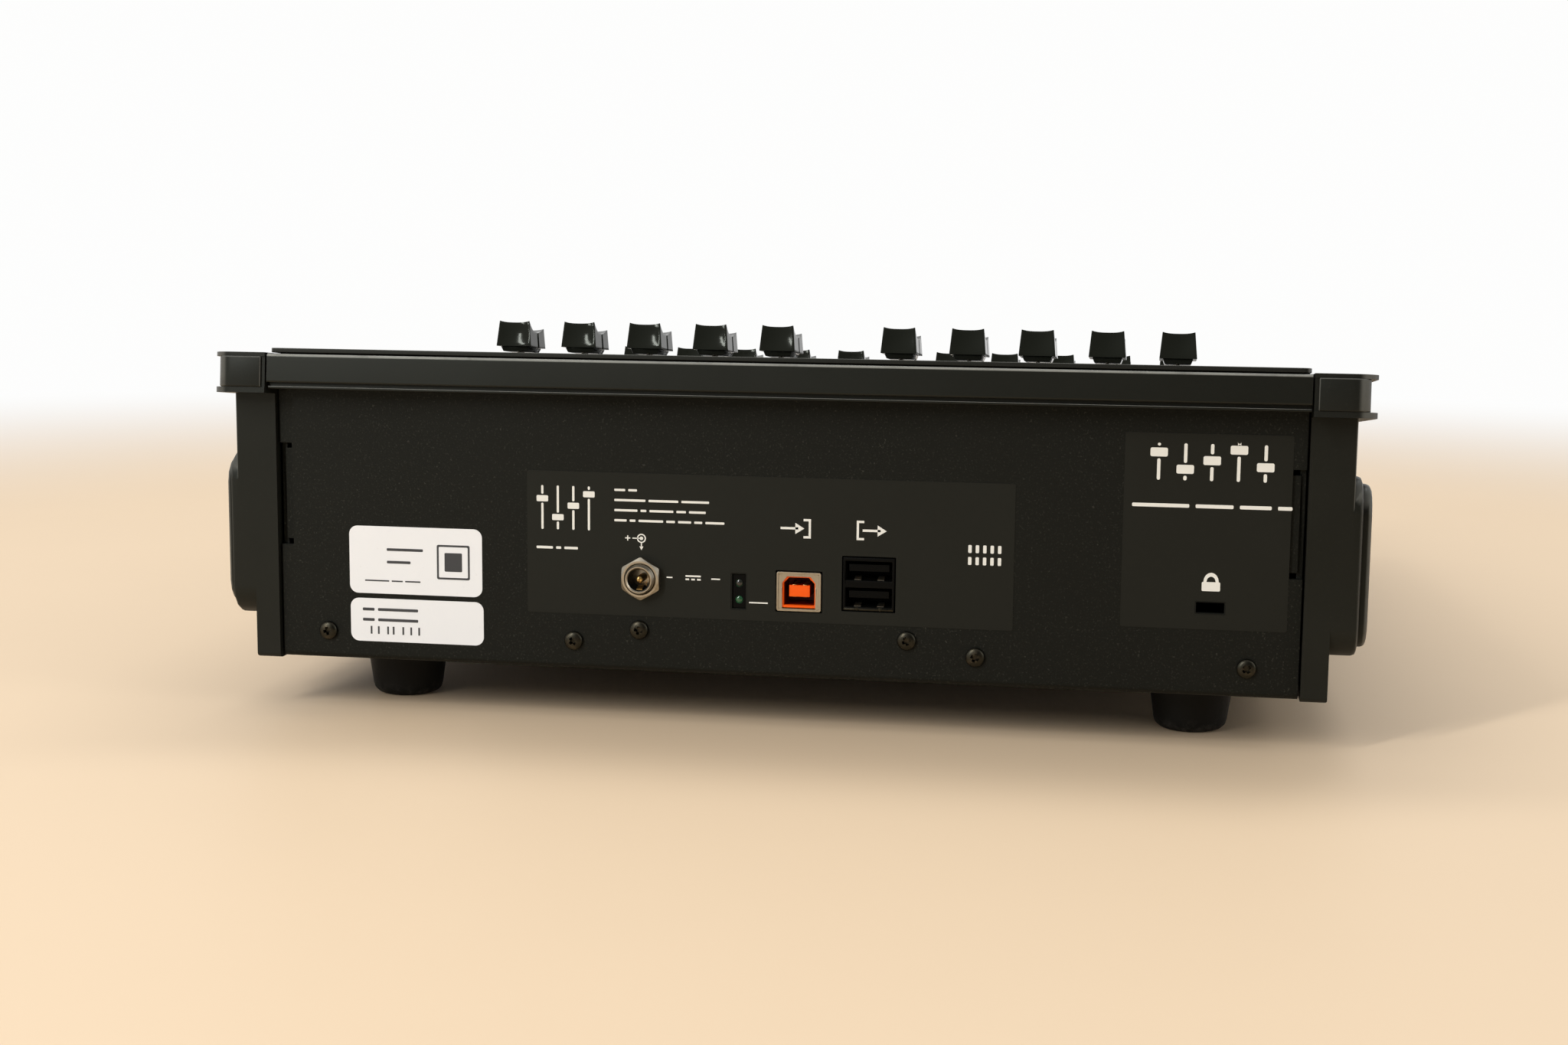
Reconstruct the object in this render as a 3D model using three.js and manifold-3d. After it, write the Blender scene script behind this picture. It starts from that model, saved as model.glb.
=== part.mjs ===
// Lighting fader wing: a wedge-shaped desk unit with twenty slide faders in two banks of ten,
// a bump key under each fader and a display strip above each bank.
// Millimetres, +Z up, +Y to the connector side, +X to the operator's right.
// The origin is on the table, under the middle of the unit.

import * as THREE from 'three';
import { mergeVertices } from 'three/addons/utils/BufferGeometryUtils.js';
import Module from 'manifold-3d';

const wasm = await Module();
wasm.setup();

// Whole unit
const deckSlopeDegrees = 5.75;
const footHeight = 14.3;
const sheet = 1.6; // folded steel of the tray
const bandOverhang = 8.2; // how far the top frame's band stands off the tray's walls
const seatGap = 0.3; // between pieces that meet on the slope or pass through a cut
const cutOverrun = 2; // how far a cutting solid passes its face
const roundSteps = 2; // an arc gets twice as many facets
const weldTolerance = 1e-4; // points closer than this are one point

// Fader banks, measured along the sloping deck. They set the unit's width and length
const columnsPerGroup = 5;
const groupsPerBank = 2;
const columnPitch = 21.7;
const groupGap = 38.9; // between the two inner columns
const faderTravel = 60;
const bankGap = 30.7; // from the front bank's display to the rear bank's keys
const rearMargin = 24.1; // from the rear display to the band's face
const frontMargin = 34.6; // from the front bank's keys to the band's face
const columnMargin = 32.25; // from the outermost faders to the tray's side

// Face plate
const plateThick = 1.2;
const plateInset = 0.9; // from the band's face
const plateSideInset = 0.2;
const plateCornerRadius = 2;

// Top frame with its folded band
const frameThick = 2;
const frameBarWidth = 16.7; // top flange of the front and rear bars
const frameSideWidth = 10;
const frameCrossWidth = 10;
const bandDepth = 9.4; // band's lower edge, below the deck surface
const bandWall = 3;
const bandFlange = 2.2; // folded back under the band, to the tray's wall
const bandLipInset = 1.2;
const bandLipDrop = 1.6;
const bandGrooveTall = 0.95; // between the band and its lip
const bandGrooveInset = 2;
const bandEdgeRadius = 1;
const postRadius = 3;
const postInset = 5; // from the control board's edges

// Base tray
const foldRadius = 1.6;
const slitReach = 3.4; // relief slits, cut in from the tray's side edges
const slitHeight = 1.5;
const upperSlitRise = 59.2; // above the tray's underside, as all heights on the rear wall
const lowerSlitRise = 32.4;
const tabRecess = 0.8;
const tabEdgeInset = 1.3;

// End cheeks with the docking rail along their head
const cheekGap = 0.5; // to the tray's side
const cheekRearProud = 1.5; // past the tray's rear wall
const cheekDrop = 0.3; // below the tray's floor
const cheekUpperThick = 11.6;
const cheekLowerThick = 6.8;
const cheekEdgeRadius = 1.4;
const cheekCornerRadius = 0.5;
const cheekWall = 3;
const cheekRibThick = 2.5;
const cheekRibCount = 9;
const railThick = 14.2; // web of the rail, from the cheek's inner face
const railLipProud = 1.9;
const railLipEndProud = 0.3;
const railLipThick = 1.15;
const railLowerLipThick = 1.5;
const railTopDepth = 1.3; // below the deck surface
const railBottomDepth = 12.3;
const railCornerRadius = 5;

// Bulge on each cheek, with the side cover on it
const coverRise = 11; // above the tray's underside
const coverFrontTall = 13.2; // height of its front end
const coverRailGap = 14.7; // from its top edge up to the rail
const coverBaseThick = 2.3; // of the bulge, past the cheek
const coverFaceThick = 2.5;
const coverFaceInset = 2;
const coverCornerRadius = 8.5;
const coverEdgeRadius = 1.3;
const coverFrontSetback = 8;

// Feet
const footTopRadius = 11.6;
const footBottomRadius = 10;
const footEdgeRadius = 3;
const footRecessRadius = 4.2;
const footRecessDepth = 5;
const footInset = 26.75; // from the tray's side walls
const footSetback = 27; // from the tray's front and rear walls
const footSides = 22;

// Slide faders: housing on the board, lever and cap
const potWidth = 9;
const potEndWall = 4.8; // past each end of its slot
const potHeight = 7.6;
const potPlateGap = 0.6;
const potSlotDepth = 5;
const leverThick = 1.2;
const leverLength = 5;
const leverFloorGap = 0.5;
const plateSlotWidth = 2.4;
const plateSlotEndGap = 0.7;
const capTopLength = 16.2;
const capSkirtLength = 17.4;
const capTopWidth = 9.8;
const capSkirtWidth = 11.3;
const capSkirtLift = 7; // above the deck surface
const capRearLift = 15.3;
const capValleyLift = 11.7;
const capFrontLift = 13.4;
const capBrowLift = 12.7;
const capDish = 0.7;
const capScoop = 0.6;
const capPlugLift = 5.4;
const capPlugInset = 1.1;
const capPlugTaper = 0.65;
const capValleyStartShare = 0.6; // along the cap from its front end
const capValleyEndShare = 0.42;
const capBrowShare = 0.83;
const capColumnShares = [-0.5, -0.27, 0, 0.27, 0.5]; // across the cap

// Bump keys
const keyWidth = 15;
const keyLength = 12;
const keyLift = 2.8;
const keyEdge = 0.7;
const keyCornerRadius = 1.6;
const keyFlange = 0.8;
const keyFlangeThick = 1.2;
const keyStemWidth = 4;
const keyGap = 12; // to the slide housing's front end
const keyTravel = 1.5;
const switchWidth = 6;
const switchHeight = 2;

// Display strips
const displayGap = 4; // to the slide housing's rear end
const displaySideReach = 11.75; // past the outermost faders
const displayLength = 36;
const displayCornerRadius = 2;
const lensFlange = 2;
const lensFlangeThick = 1.5;
const lensRecess = 0.2;
const displayModuleInset = 1.5;

// Control board
const boardThick = 1.6;
const boardSideGap = 2; // to the tray's side walls
const boardEndMargin = 9;

// Connector board and its posts
const ioBoardLength = 56;
const ioBoardMargin = 7;
const ioBoardWallGap = 1.5;
const ioPostRadius = 3;
const ioPostInset = 4.5;

// Power inlet
const inletX = 35.8;
const inletRise = 25.8;
const inletBarrelRadius = 4;
const inletBoreRadius = 3.1;
const inletBoreDepth = 11;
const inletPinRadius = 1.05;
const inletPinSetback = 1;
const inletProud = 4.2;
const inletBodyWidth = 12.4;
const inletBodyLength = 11;
const nutFlats = 10.7;
const nutThick = 2.6;
const inletSides = 24;

// Indicator pair
const ledX = 9.05;
const ledSlotWidth = 3.7;
const ledSlotRise = 18.4;
const ledSlotTall = 9.4;
const ledSetback = 0.8;
const ledBlockLength = 7;

// Square socket: nickel shell with a moulded insert
const squareX = -7.3;
const squareWidth = 12;
const squareRise = 18.3;
const squareTall = 10.6;
const squareLength = 16.4;
const squareWall = 0.55;
const squareProud = 0.4;
const insertSetback = 0.5;
const insertSideWall = 0.95;
const insertTopWall = 0.65;
const insertMouthChamfer = 1.6;
const insertMouthDepth = 9;
const tongueSideGap = 1.4;
const tongueTopGap = 2.25;
const tongueSetback = 0.9;

// Stacked pair of flat sockets
const stackX = -26.1;
const stackWidth = 13.8;
const stackRise = 19.1;
const stackTall = 14.3;
const stackLength = 17.5;
const stackSideWall = 0.65;
const stackTopWall = 0.975;
const stackMouthDepth = 10;
const stackTongueSideGap = 0.8;
const stackTongueThick = 1.9;
const stackTongueSetback = 1.2;
const stackProud = 0.2;

// Security slot
const lockInset = 23.1; // from the tray's side
const lockRise = 23.4;
const lockWidth = 7.2;
const lockSlotHeight = 2.8;

// Places worked out from the sizes above
const slope = THREE.MathUtils.degToRad(deckSlopeDegrees);
const slotHalfLength = (faderTravel + leverLength) / 2 + plateSlotEndGap;
const potLength = 2 * (slotHalfLength + potEndWall);
const keyOffset = -(potLength + keyLength) / 2 - keyGap; // from the middle of the fader travel
const displayOffset = (potLength + displayLength) / 2 + displayGap;
const bankLength = displayOffset + displayLength / 2 - keyOffset + keyLength / 2;
const frameLength = frontMargin + 2 * bankLength + bankGap + rearMargin; // along the sloping top
const rearBankCentre = frameLength / 2 - rearMargin - displayLength / 2 - displayOffset;
const bankPitch = bankLength + bankGap;
const lastColumn = groupGap / 2 + (columnsPerGroup - 1) * columnPitch;
const trayWidth = 2 * (lastColumn + columnMargin);
const displayWidth = 2 * (lastColumn + displaySideReach);
const trayDepth = frameLength * Math.cos(slope) - 2 * bandOverhang;
const rearFace = trayDepth / 2;
const plateLength = frameLength - 2 * plateInset;
const plateWidth = trayWidth - 2 * plateSideInset;

const coverBottomHeight = footHeight + coverRise;
const cheekStepHeight = coverBottomHeight + coverCornerRadius;
const coverFront = coverFrontSetback - rearFace;
const coverFrontTop = coverBottomHeight + coverFrontTall;
const coverTopHeight = coverFrontTop + (rearFace - coverFront) * Math.tan(slope); // at its rear end
const deckShift = -((railTopDepth + railBottomDepth) / 2) * Math.sin(slope);
const deckMidHeight =
  coverFrontTop +
  coverRailGap +
  railBottomDepth / Math.cos(slope) -
  (coverFront - deckShift) * Math.tan(slope);
const deckRearHeight = deckMidHeight + (plateLength / 2) * Math.sin(slope);
const deckMatrix = new THREE.Matrix4()
  .makeTranslation(0, deckShift, deckMidHeight)
  .multiply(new THREE.Matrix4().makeRotationX(slope));

const frameTopDepth = plateThick + seatGap;
const frameBottomDepth = frameTopDepth + frameThick;
const trayTopDepth = frameBottomDepth + seatGap;
const potTopDepth = plateThick + potPlateGap;
const boardTopDepth = potTopDepth + potHeight;
const potSlotWidth = leverThick + 2 * seatGap;
const lensWidth = displayWidth + 2 * lensFlange;
const lensLength = displayLength + 2 * lensFlange;
const lensBottomDepth = frameTopDepth + lensFlangeThick;
const keyHoleWidth = keyWidth + 2 * seatGap;
const keyHoleLength = keyLength + 2 * seatGap;
const keyHalfFlangeLength = keyHoleLength / 2 + keyFlange;
const upperSlitHeight = footHeight + upperSlitRise;
const lowerSlitHeight = footHeight + lowerSlitRise;
const inletHeight = footHeight + inletRise;
const ledSlotLow = footHeight + ledSlotRise;
const ledSlotHigh = ledSlotLow + ledSlotTall;
const squareLow = footHeight + squareRise;
const squareHigh = squareLow + squareTall;
const stackLow = footHeight + stackRise;
const stackHigh = stackLow + stackTall;
const lockX = lockInset - trayWidth / 2;
const lockHeight = footHeight + lockRise;
const ioBoardTop = Math.min(squareLow, ledSlotLow) - seatGap;
const ioBoardBottom = ioBoardTop - boardThick;
const rearInner = rearFace - sheet;
const trayInnerHalf = trayWidth / 2 - sheet;
const cheekInner = trayWidth / 2 + cheekGap;
const boardHalfWidth = trayInnerHalf - boardSideGap;

const bankCentres = [rearBankCentre, rearBankCentre - bankPitch];
const bankNames = ['rear', 'front'];
const columnPlaces = [];
for (let column = 0; column < columnsPerGroup * groupsPerBank; column += 1) {
  const side = column < columnsPerGroup ? -1 : 1;
  const steps = side < 0 ? columnsPerGroup - 1 - column : column - columnsPerGroup;
  columnPlaces.push(side * (groupGap / 2 + steps * columnPitch));
}

const lastKeyFront = bankCentres[1] + keyOffset - keyHalfFlangeLength;
const firstLensRear = bankCentres[0] + displayOffset + lensLength / 2;
const boardFront = lastKeyFront - boardEndMargin;
const boardRear = firstLensRear + seatGap;
const rearKeysFront = bankCentres[0] + keyOffset - keyHalfFlangeLength;
const frontLensRear = bankCentres[1] + displayOffset + lensLength / 2;
const crossbarPlace = (rearKeysFront + frontLensRear) / 2;

// Height of a plane parallel to the deck, at a place along the unit
function deckHeight(y, depth) {
  return deckMidHeight + (y - deckShift) * Math.tan(slope) - depth / Math.cos(slope);
}

// Materials
function material(color, roughness, metalness) {
  return new THREE.MeshStandardMaterial({ color, roughness, metalness });
}
const powderCoat = material(0x1b1b1a, 0.62, 0.2);
const satinBlack = material(0x1e1e1d, 0.45, 0);
const plateBlack = material(0x222321, 0.5, 0.3);
const rubber = material(0x0d0d0d, 0.85, 0);
const capBlack = material(0x151515, 0.35, 0);
const keyGrey = material(0x3a3b3c, 0.55, 0);
const lensBlack = material(0x050607, 0.12, 0);
const nickel = material(0xb9b2a4, 0.3, 1);
const orange = material(0xf0501e, 0.45, 0);
const socketBlack = material(0x101010, 0.4, 0);
const boardGreen = material(0x1f5a35, 0.5, 0);

// Geometry helpers

// A closed geometry as a solid that can be joined and cut
function solid(geometry) {
  const bare = geometry.index ? geometry.clone() : geometry;
  bare.deleteAttribute('normal');
  bare.deleteAttribute('uv');
  const merged = mergeVertices(bare, weldTolerance);
  const mesh = new wasm.Mesh({
    numProp: 3,
    vertProperties: new Float32Array(merged.attributes.position.array),
    triVerts: new Uint32Array(merged.index.array),
  });
  return new wasm.Manifold(mesh);
}

function geometryOf(body) {
  const mesh = body.getMesh();
  const geometry = new THREE.BufferGeometry();
  geometry.setAttribute('position', new THREE.BufferAttribute(mesh.vertProperties, 3));
  geometry.setIndex(new THREE.BufferAttribute(mesh.triVerts, 1));
  geometry.computeVertexNormals();
  return geometry;
}

function joined(bodies) {
  return bodies.reduce((whole, body) => whole.add(body));
}

// The same geometry on the other side of the plane x = 0 or y = 0
function mirrored(geometry, axis) {
  const [signX, signY] = axis === 'x' ? [-1, 1] : [1, -1];
  const flipped = geometry.clone().applyMatrix4(new THREE.Matrix4().makeScale(signX, signY, 1));
  const index = flipped.index ? flipped.index.array : null;
  const position = flipped.attributes.position;
  if (index) {
    for (let i = 0; i < index.length; i += 3) {
      [index[i + 1], index[i + 2]] = [index[i + 2], index[i + 1]];
    }
    return flipped;
  }
  const corner = new THREE.Vector3();
  const other = new THREE.Vector3();
  for (let i = 0; i < position.count; i += 3) {
    corner.fromBufferAttribute(position, i + 1);
    other.fromBufferAttribute(position, i + 2);
    position.setXYZ(i + 1, other.x, other.y, other.z);
    position.setXYZ(i + 2, corner.x, corner.y, corner.z);
  }
  return flipped;
}

// A closed outline whose corners are rounded by arcs, each limited by its two sides
function filletedOutline(corners, radii, target = new THREE.Shape()) {
  const count = corners.length;
  const points = corners.map(([a, b]) => new THREE.Vector2(a, b));
  points.forEach((point, i) => {
    const before = points[(i + count - 1) % count];
    const after = points[(i + 1) % count];
    const toBefore = before.clone().sub(point);
    const toAfter = after.clone().sub(point);
    const half = Math.acos(toBefore.dot(toAfter) / (toBefore.length() * toAfter.length())) / 2;
    const wanted = Array.isArray(radii) ? radii[i] : radii;
    const room = Math.min(toBefore.length(), toAfter.length()) / 2;
    const radius = Math.min(wanted, room * Math.tan(half));
    if (radius === 0) {
      if (i === 0) target.moveTo(point.x, point.y);
      else target.lineTo(point.x, point.y);
      return;
    }
    const reach = radius / Math.tan(half);
    const start = point.clone().addScaledVector(toBefore.normalize(), reach);
    const end = point.clone().addScaledVector(toAfter.normalize(), reach);
    const inward = toBefore.clone().add(toAfter).normalize();
    const centre = point.clone().addScaledVector(inward, radius / Math.sin(half));
    const turn = toAfter.cross(toBefore);
    if (i === 0) target.moveTo(start.x, start.y);
    else target.lineTo(start.x, start.y);
    const startAngle = Math.atan2(start.y - centre.y, start.x - centre.x);
    const endAngle = Math.atan2(end.y - centre.y, end.x - centre.x);
    target.absarc(centre.x, centre.y, radius, startAngle, endAngle, turn < 0);
  });
  target.closePath();
  return target;
}

function rectangleCorners(centreA, centreB, width, height) {
  const [a, b] = [width / 2, height / 2];
  return [[-a, -b], [a, -b], [a, b], [-a, b]].map(([p, q]) => [centreA + p, centreB + q]);
}

function extrusion(shape, depth, steps = roundSteps) {
  return new THREE.ExtrudeGeometry(shape, { depth, bevelEnabled: false, curveSegments: steps });
}

// Outline in x and y, from z low to high
function alongZ(shape, low, high, steps) {
  return extrusion(shape, high - low, steps).translate(0, 0, low);
}

// Outline in y and z, from x low to high
function alongX(shape, low, high, steps) {
  const turn = new THREE.Matrix4().makeBasis(
    new THREE.Vector3(0, 1, 0),
    new THREE.Vector3(0, 0, 1),
    new THREE.Vector3(1, 0, 0),
  );
  return extrusion(shape, high - low, steps).applyMatrix4(turn).translate(low, 0, 0);
}

// Outline in x and z, from y low to high
function alongY(shape, low, high, steps) {
  const turn = new THREE.Matrix4().makeBasis(
    new THREE.Vector3(1, 0, 0),
    new THREE.Vector3(0, 0, 1),
    new THREE.Vector3(0, -1, 0),
  );
  return extrusion(shape, high - low, steps).applyMatrix4(turn).translate(0, high, 0);
}

function box(x0, x1, y0, y1, z0, z1) {
  const middle = [(x0 + x1) / 2, (y0 + y1) / 2, (z0 + z1) / 2];
  return new THREE.BoxGeometry(x1 - x0, y1 - y0, z1 - z0).translate(...middle);
}

function uprightCylinder(x, y, z0, z1, radius, sides) {
  return new THREE.CylinderGeometry(radius, radius, z1 - z0, sides)
    .rotateX(Math.PI / 2)
    .translate(x, y, (z0 + z1) / 2);
}

function levelCylinder(x, z, y0, y1, radius, sides) {
  return new THREE.CylinderGeometry(radius, radius, y1 - y0, sides).translate(x, (y0 + y1) / 2, z);
}

// Skin over rings of points that all hold the same number, closed by a flat or dished face at each end
function loft(rings, flat) {
  const count = rings[0].length;
  const positions = rings.flat().flatMap((p) => [p.x, p.y, p.z]);
  const index = [];
  for (let r = 0; r < rings.length - 1; r += 1) {
    for (let i = 0; i < count; i += 1) {
      const [a, b] = [r * count + i, r * count + ((i + 1) % count)];
      index.push(a, b, b + count, a, b + count, a + count);
    }
  }
  const last = (rings.length - 1) * count;
  THREE.ShapeUtils.triangulateShape(rings[0].map(flat), []).forEach(([a, b, c]) => index.push(a, c, b));
  THREE.ShapeUtils.triangulateShape(rings[rings.length - 1].map(flat), []).forEach(([a, b, c]) => {
    index.push(last + a, last + b, last + c);
  });
  const geometry = new THREE.BufferGeometry();
  geometry.setAttribute('position', new THREE.Float32BufferAttribute(positions, 3));
  geometry.setIndex(index);
  return geometry;
}

function ringOf(shape, z, steps) {
  const points = shape.getPoints(steps);
  const ends = points[0].distanceTo(points[points.length - 1]) < weldTolerance ? 1 : 0;
  return points.slice(0, points.length - ends).map((p) => new THREE.Vector3(p.x, p.y, z));
}

// Base tray: floor, four walls, relief slits, socket cut-outs and the connector board's posts
function trayOutline(wall) {
  const half = trayDepth / 2 - wall;
  const rise = wall > 0 ? cutOverrun : 0;
  return filletedOutline(
    [
      [-half, footHeight + wall],
      [half, footHeight + wall],
      [half, deckHeight(half, trayTopDepth) + rise],
      [-half, deckHeight(-half, trayTopDepth) + rise],
    ],
    [Math.max(foldRadius - wall, 0), Math.max(foldRadius - wall, 0), 0, 0],
  );
}

function reliefSlits() {
  const inner = trayWidth / 2 - slitReach;
  const outer = trayWidth / 2 + cutOverrun;
  const past = rearFace + cutOverrun;
  const cuts = [upperSlitHeight, lowerSlitHeight].map((height) =>
    box(inner, outer, rearInner, past, height - slitHeight / 2, height + slitHeight / 2),
  );
  cuts.push(box(inner, outer, rearFace - tabRecess, past, lowerSlitHeight, upperSlitHeight));
  cuts.push(box(outer - cutOverrun - tabEdgeInset, outer, rearInner, past, lowerSlitHeight, upperSlitHeight));
  return cuts.flatMap((cut) => [cut, mirrored(cut, 'x')]);
}

function rearWindow(x, low, high, width, gap = seatGap) {
  const [left, right] = [x - width / 2 - gap, x + width / 2 + gap];
  return box(left, right, rearInner - cutOverrun, rearFace + cutOverrun, low - gap, high + gap);
}

const ioBoardLeft = stackX - stackWidth / 2 - ioBoardMargin;
const ioBoardRight = inletX + inletBodyWidth / 2 + ioBoardMargin;
const ioBoardRear = rearInner - ioBoardWallGap;
const ioBoardFront = ioBoardRear - ioBoardLength;

function baseTray() {
  const half = trayWidth / 2;
  const shell = solid(alongX(trayOutline(0), -half, half)).subtract(
    solid(alongX(trayOutline(sheet), -trayInnerHalf, trayInnerHalf)),
  );
  const barrelHole = levelCylinder(
    inletX,
    inletHeight,
    rearInner - cutOverrun,
    rearFace + cutOverrun,
    inletBarrelRadius + seatGap,
    inletSides,
  );
  const cuts = [
    ...reliefSlits(),
    barrelHole,
    rearWindow(ledX, ledSlotLow, ledSlotHigh, ledSlotWidth, 0),
    rearWindow(squareX, squareLow, squareHigh, squareWidth),
    rearWindow(stackX, stackLow, stackHigh, stackWidth),
    rearWindow(lockX, lockHeight - lockSlotHeight / 2, lockHeight + lockSlotHeight / 2, lockWidth, 0),
  ];
  const [postFoot, postTop] = [footHeight + sheet / 2, ioBoardBottom - seatGap];
  const posts = [];
  for (const x of [ioBoardLeft + ioPostInset, ioBoardRight - ioPostInset]) {
    for (const y of [ioBoardFront + ioPostInset, ioBoardRear - ioPostInset]) {
      posts.push(solid(uprightCylinder(x, y, postFoot, postTop, ioPostRadius, inletSides / 2)));
    }
  }
  const open = cuts.reduce((body, cut) => body.subtract(solid(cut)), shell);
  return geometryOf(joined([open, ...posts]));
}

// Top frame: a ring with a folded band and lip front and rear, a crossbar and posts for the board
function bandProfile() {
  const face = frameLength / 2;
  const lipFace = face - bandLipInset;
  const lipBottom = -bandDepth - bandLipDrop;
  const grooveLow = -bandDepth - bandGrooveTall;
  const lipRadius = (grooveLow - lipBottom) / 4;
  const foot = (rearFace + seatGap - deckShift - lipBottom * Math.sin(slope)) / Math.cos(slope);
  return filletedOutline(
    [
      [face - frameBarWidth, -frameTopDepth],
      [face - frameBarWidth, -frameBottomDepth],
      [face - bandWall, -frameBottomDepth],
      [face - bandWall, lipBottom + bandFlange],
      [foot, lipBottom + bandFlange],
      [foot, lipBottom],
      [lipFace, lipBottom],
      [lipFace, grooveLow],
      [face - bandGrooveInset, grooveLow],
      [face - bandGrooveInset, -bandDepth],
      [face, -bandDepth],
      [face, -frameTopDepth],
    ],
    [0, 0, 0, 0, 0, 0, lipRadius, lipRadius, 0, 0, bandEdgeRadius / 2, bandEdgeRadius],
  );
}

function topFrame() {
  const half = trayWidth / 2;
  const rearBar = alongX(bandProfile(), -half, half);
  const barInner = frameLength / 2 - frameBarWidth;
  const bars = [rearBar, mirrored(rearBar, 'y')];
  for (const side of [-1, 1]) {
    const [x0, x1] = [side * half, side * (half - frameSideWidth)].sort((a, b) => a - b);
    bars.push(box(x0, x1, -barInner - sheet, barInner + sheet, -frameBottomDepth, -frameTopDepth));
  }
  const crossFront = crossbarPlace - frameCrossWidth / 2;
  const crossRear = crossFront + frameCrossWidth;
  bars.push(box(-half, half, crossFront, crossRear, -frameBottomDepth, -frameTopDepth));
  const postColumn = boardHalfWidth - postInset;
  const [postFoot, postTop] = [seatGap - boardTopDepth, -frameTopDepth - frameThick / 2];
  for (const y of [boardFront + postInset, crossbarPlace, boardRear - postInset]) {
    for (const x of [-postColumn, postColumn]) {
      bars.push(uprightCylinder(x, y, postFoot, postTop, postRadius, inletSides / 2));
    }
  }
  return geometryOf(joined(bars.map(solid)));
}

// Face plate: fader slots, key holes and display windows
function facePlate() {
  const shape = filletedOutline(rectangleCorners(0, 0, plateWidth, plateLength), plateCornerRadius);
  for (const centre of bankCentres) {
    const windowCorners = rectangleCorners(0, centre + displayOffset, displayWidth, displayLength);
    shape.holes.push(filletedOutline(windowCorners, displayCornerRadius, new THREE.Path()));
    for (const x of columnPlaces) {
      const slotCorners = rectangleCorners(x, centre, plateSlotWidth, 2 * slotHalfLength);
      shape.holes.push(filletedOutline(slotCorners, plateSlotWidth / 2, new THREE.Path()));
      const keyCorners = rectangleCorners(x, centre + keyOffset, keyHoleWidth, keyHoleLength);
      shape.holes.push(filletedOutline(keyCorners, keyCornerRadius + seatGap, new THREE.Path()));
    }
  }
  return geometryOf(solid(alongZ(shape, -plateThick, 0, 1)));
}

// Display lens: seated from below, its raised middle in the face plate's window
function displayLens(centre) {
  const place = centre + displayOffset;
  const flange = filletedOutline(rectangleCorners(0, place, lensWidth, lensLength), displayCornerRadius);
  const pane = filletedOutline(
    rectangleCorners(0, place, displayWidth - 2 * seatGap, displayLength - 2 * seatGap),
    displayCornerRadius - seatGap,
  );
  return geometryOf(
    joined([
      solid(alongZ(flange, -lensBottomDepth, -frameTopDepth)),
      solid(alongZ(pane, -frameTopDepth - lensFlangeThick / 2, -lensRecess)),
    ]),
  );
}

// Control board: one board under the deck with slide housings, key switches and display modules
function slideHousing(x, centre) {
  const body = filletedOutline(rectangleCorners(x, centre, potWidth, potLength), 0);
  const slot = rectangleCorners(x, centre, potSlotWidth, 2 * slotHalfLength);
  body.holes.push(filletedOutline(slot, 0, new THREE.Path()));
  const [x0, x1] = [x - potWidth / 2, x + potWidth / 2];
  const [y0, y1] = [centre - potLength / 2, centre + potLength / 2];
  const slotFloor = -potTopDepth - potSlotDepth;
  return solid(alongZ(body, slotFloor, -potTopDepth)).add(
    solid(box(x0, x1, y0, y1, -boardTopDepth - boardThick / 2, slotFloor)),
  );
}

function controlBoard() {
  const board = box(
    -boardHalfWidth,
    boardHalfWidth,
    boardFront,
    boardRear,
    -boardTopDepth - boardThick,
    -boardTopDepth,
  );
  const bodies = [solid(board)];
  const sunk = -boardTopDepth - boardThick / 2;
  for (const centre of bankCentres) {
    const half = [lensWidth / 2 - displayModuleInset, lensLength / 2 - displayModuleInset];
    const place = centre + displayOffset;
    const moduleTop = -lensBottomDepth - seatGap;
    bodies.push(solid(box(-half[0], half[0], place - half[1], place + half[1], sunk, moduleTop)));
    for (const x of columnPlaces) {
      bodies.push(slideHousing(x, centre));
      const [w, y] = [switchWidth / 2, centre + keyOffset];
      bodies.push(solid(box(x - w, x + w, y - w, y + w, sunk, switchHeight - boardTopDepth)));
    }
  }
  return geometryOf(joined(bodies));
}

// Fader: a lofted cap with a dished top and a scooped rear face, its plug and its lever
function capRing(lengthShare, topLift) {
  const top = (lengthShare - 0.5) * capTopLength;
  const skirt = (lengthShare - 0.5) * capSkirtLength;
  const atRear = lengthShare === 1;
  const hollow = (share) => 1 - 4 * share * share;
  const scooped = (y, share) => (atRear ? y - capScoop * hollow(share) : y);
  const low = capColumnShares.map(
    (share) => new THREE.Vector3(share * capSkirtWidth, scooped(skirt, share), capSkirtLift),
  );
  const dished = (share) => topLift - capDish * hollow(share);
  const high = capColumnShares.map(
    (share) => new THREE.Vector3(share * capTopWidth, scooped(top, share), dished(share)),
  );
  return [...low, ...high.reverse()];
}

function faderCap() {
  const stations = [
    [0, capFrontLift],
    [capValleyEndShare, capValleyLift],
    [capValleyStartShare, capValleyLift],
    [capBrowShare, capBrowLift],
    [1, capRearLift],
  ];
  const rings = stations.map(([share, lift]) => capRing(share, lift)).reverse();
  const body = loft(rings, (p) => new THREE.Vector2(p.x, p.z));
  const plugRing = (inset, z) =>
    ringOf(
      filletedOutline(rectangleCorners(0, 0, capSkirtWidth - 2 * inset, capSkirtLength - 2 * inset), 0),
      z,
      1,
    );
  const plug = loft(
    [
      plugRing(capPlugInset + capPlugTaper, capPlugLift),
      plugRing(capPlugInset, capSkirtLift),
      plugRing(capPlugInset, capSkirtLift + capPlugInset),
    ],
    (p) => new THREE.Vector2(p.x, p.y),
  );
  const leverFoot = leverFloorGap - potTopDepth - potSlotDepth;
  const lever = box(
    -leverThick / 2,
    leverThick / 2,
    -leverLength / 2,
    leverLength / 2,
    leverFoot,
    capPlugLift + capPlugInset,
  );
  return geometryOf(joined([solid(body), solid(plug), solid(lever)]));
}

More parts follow.
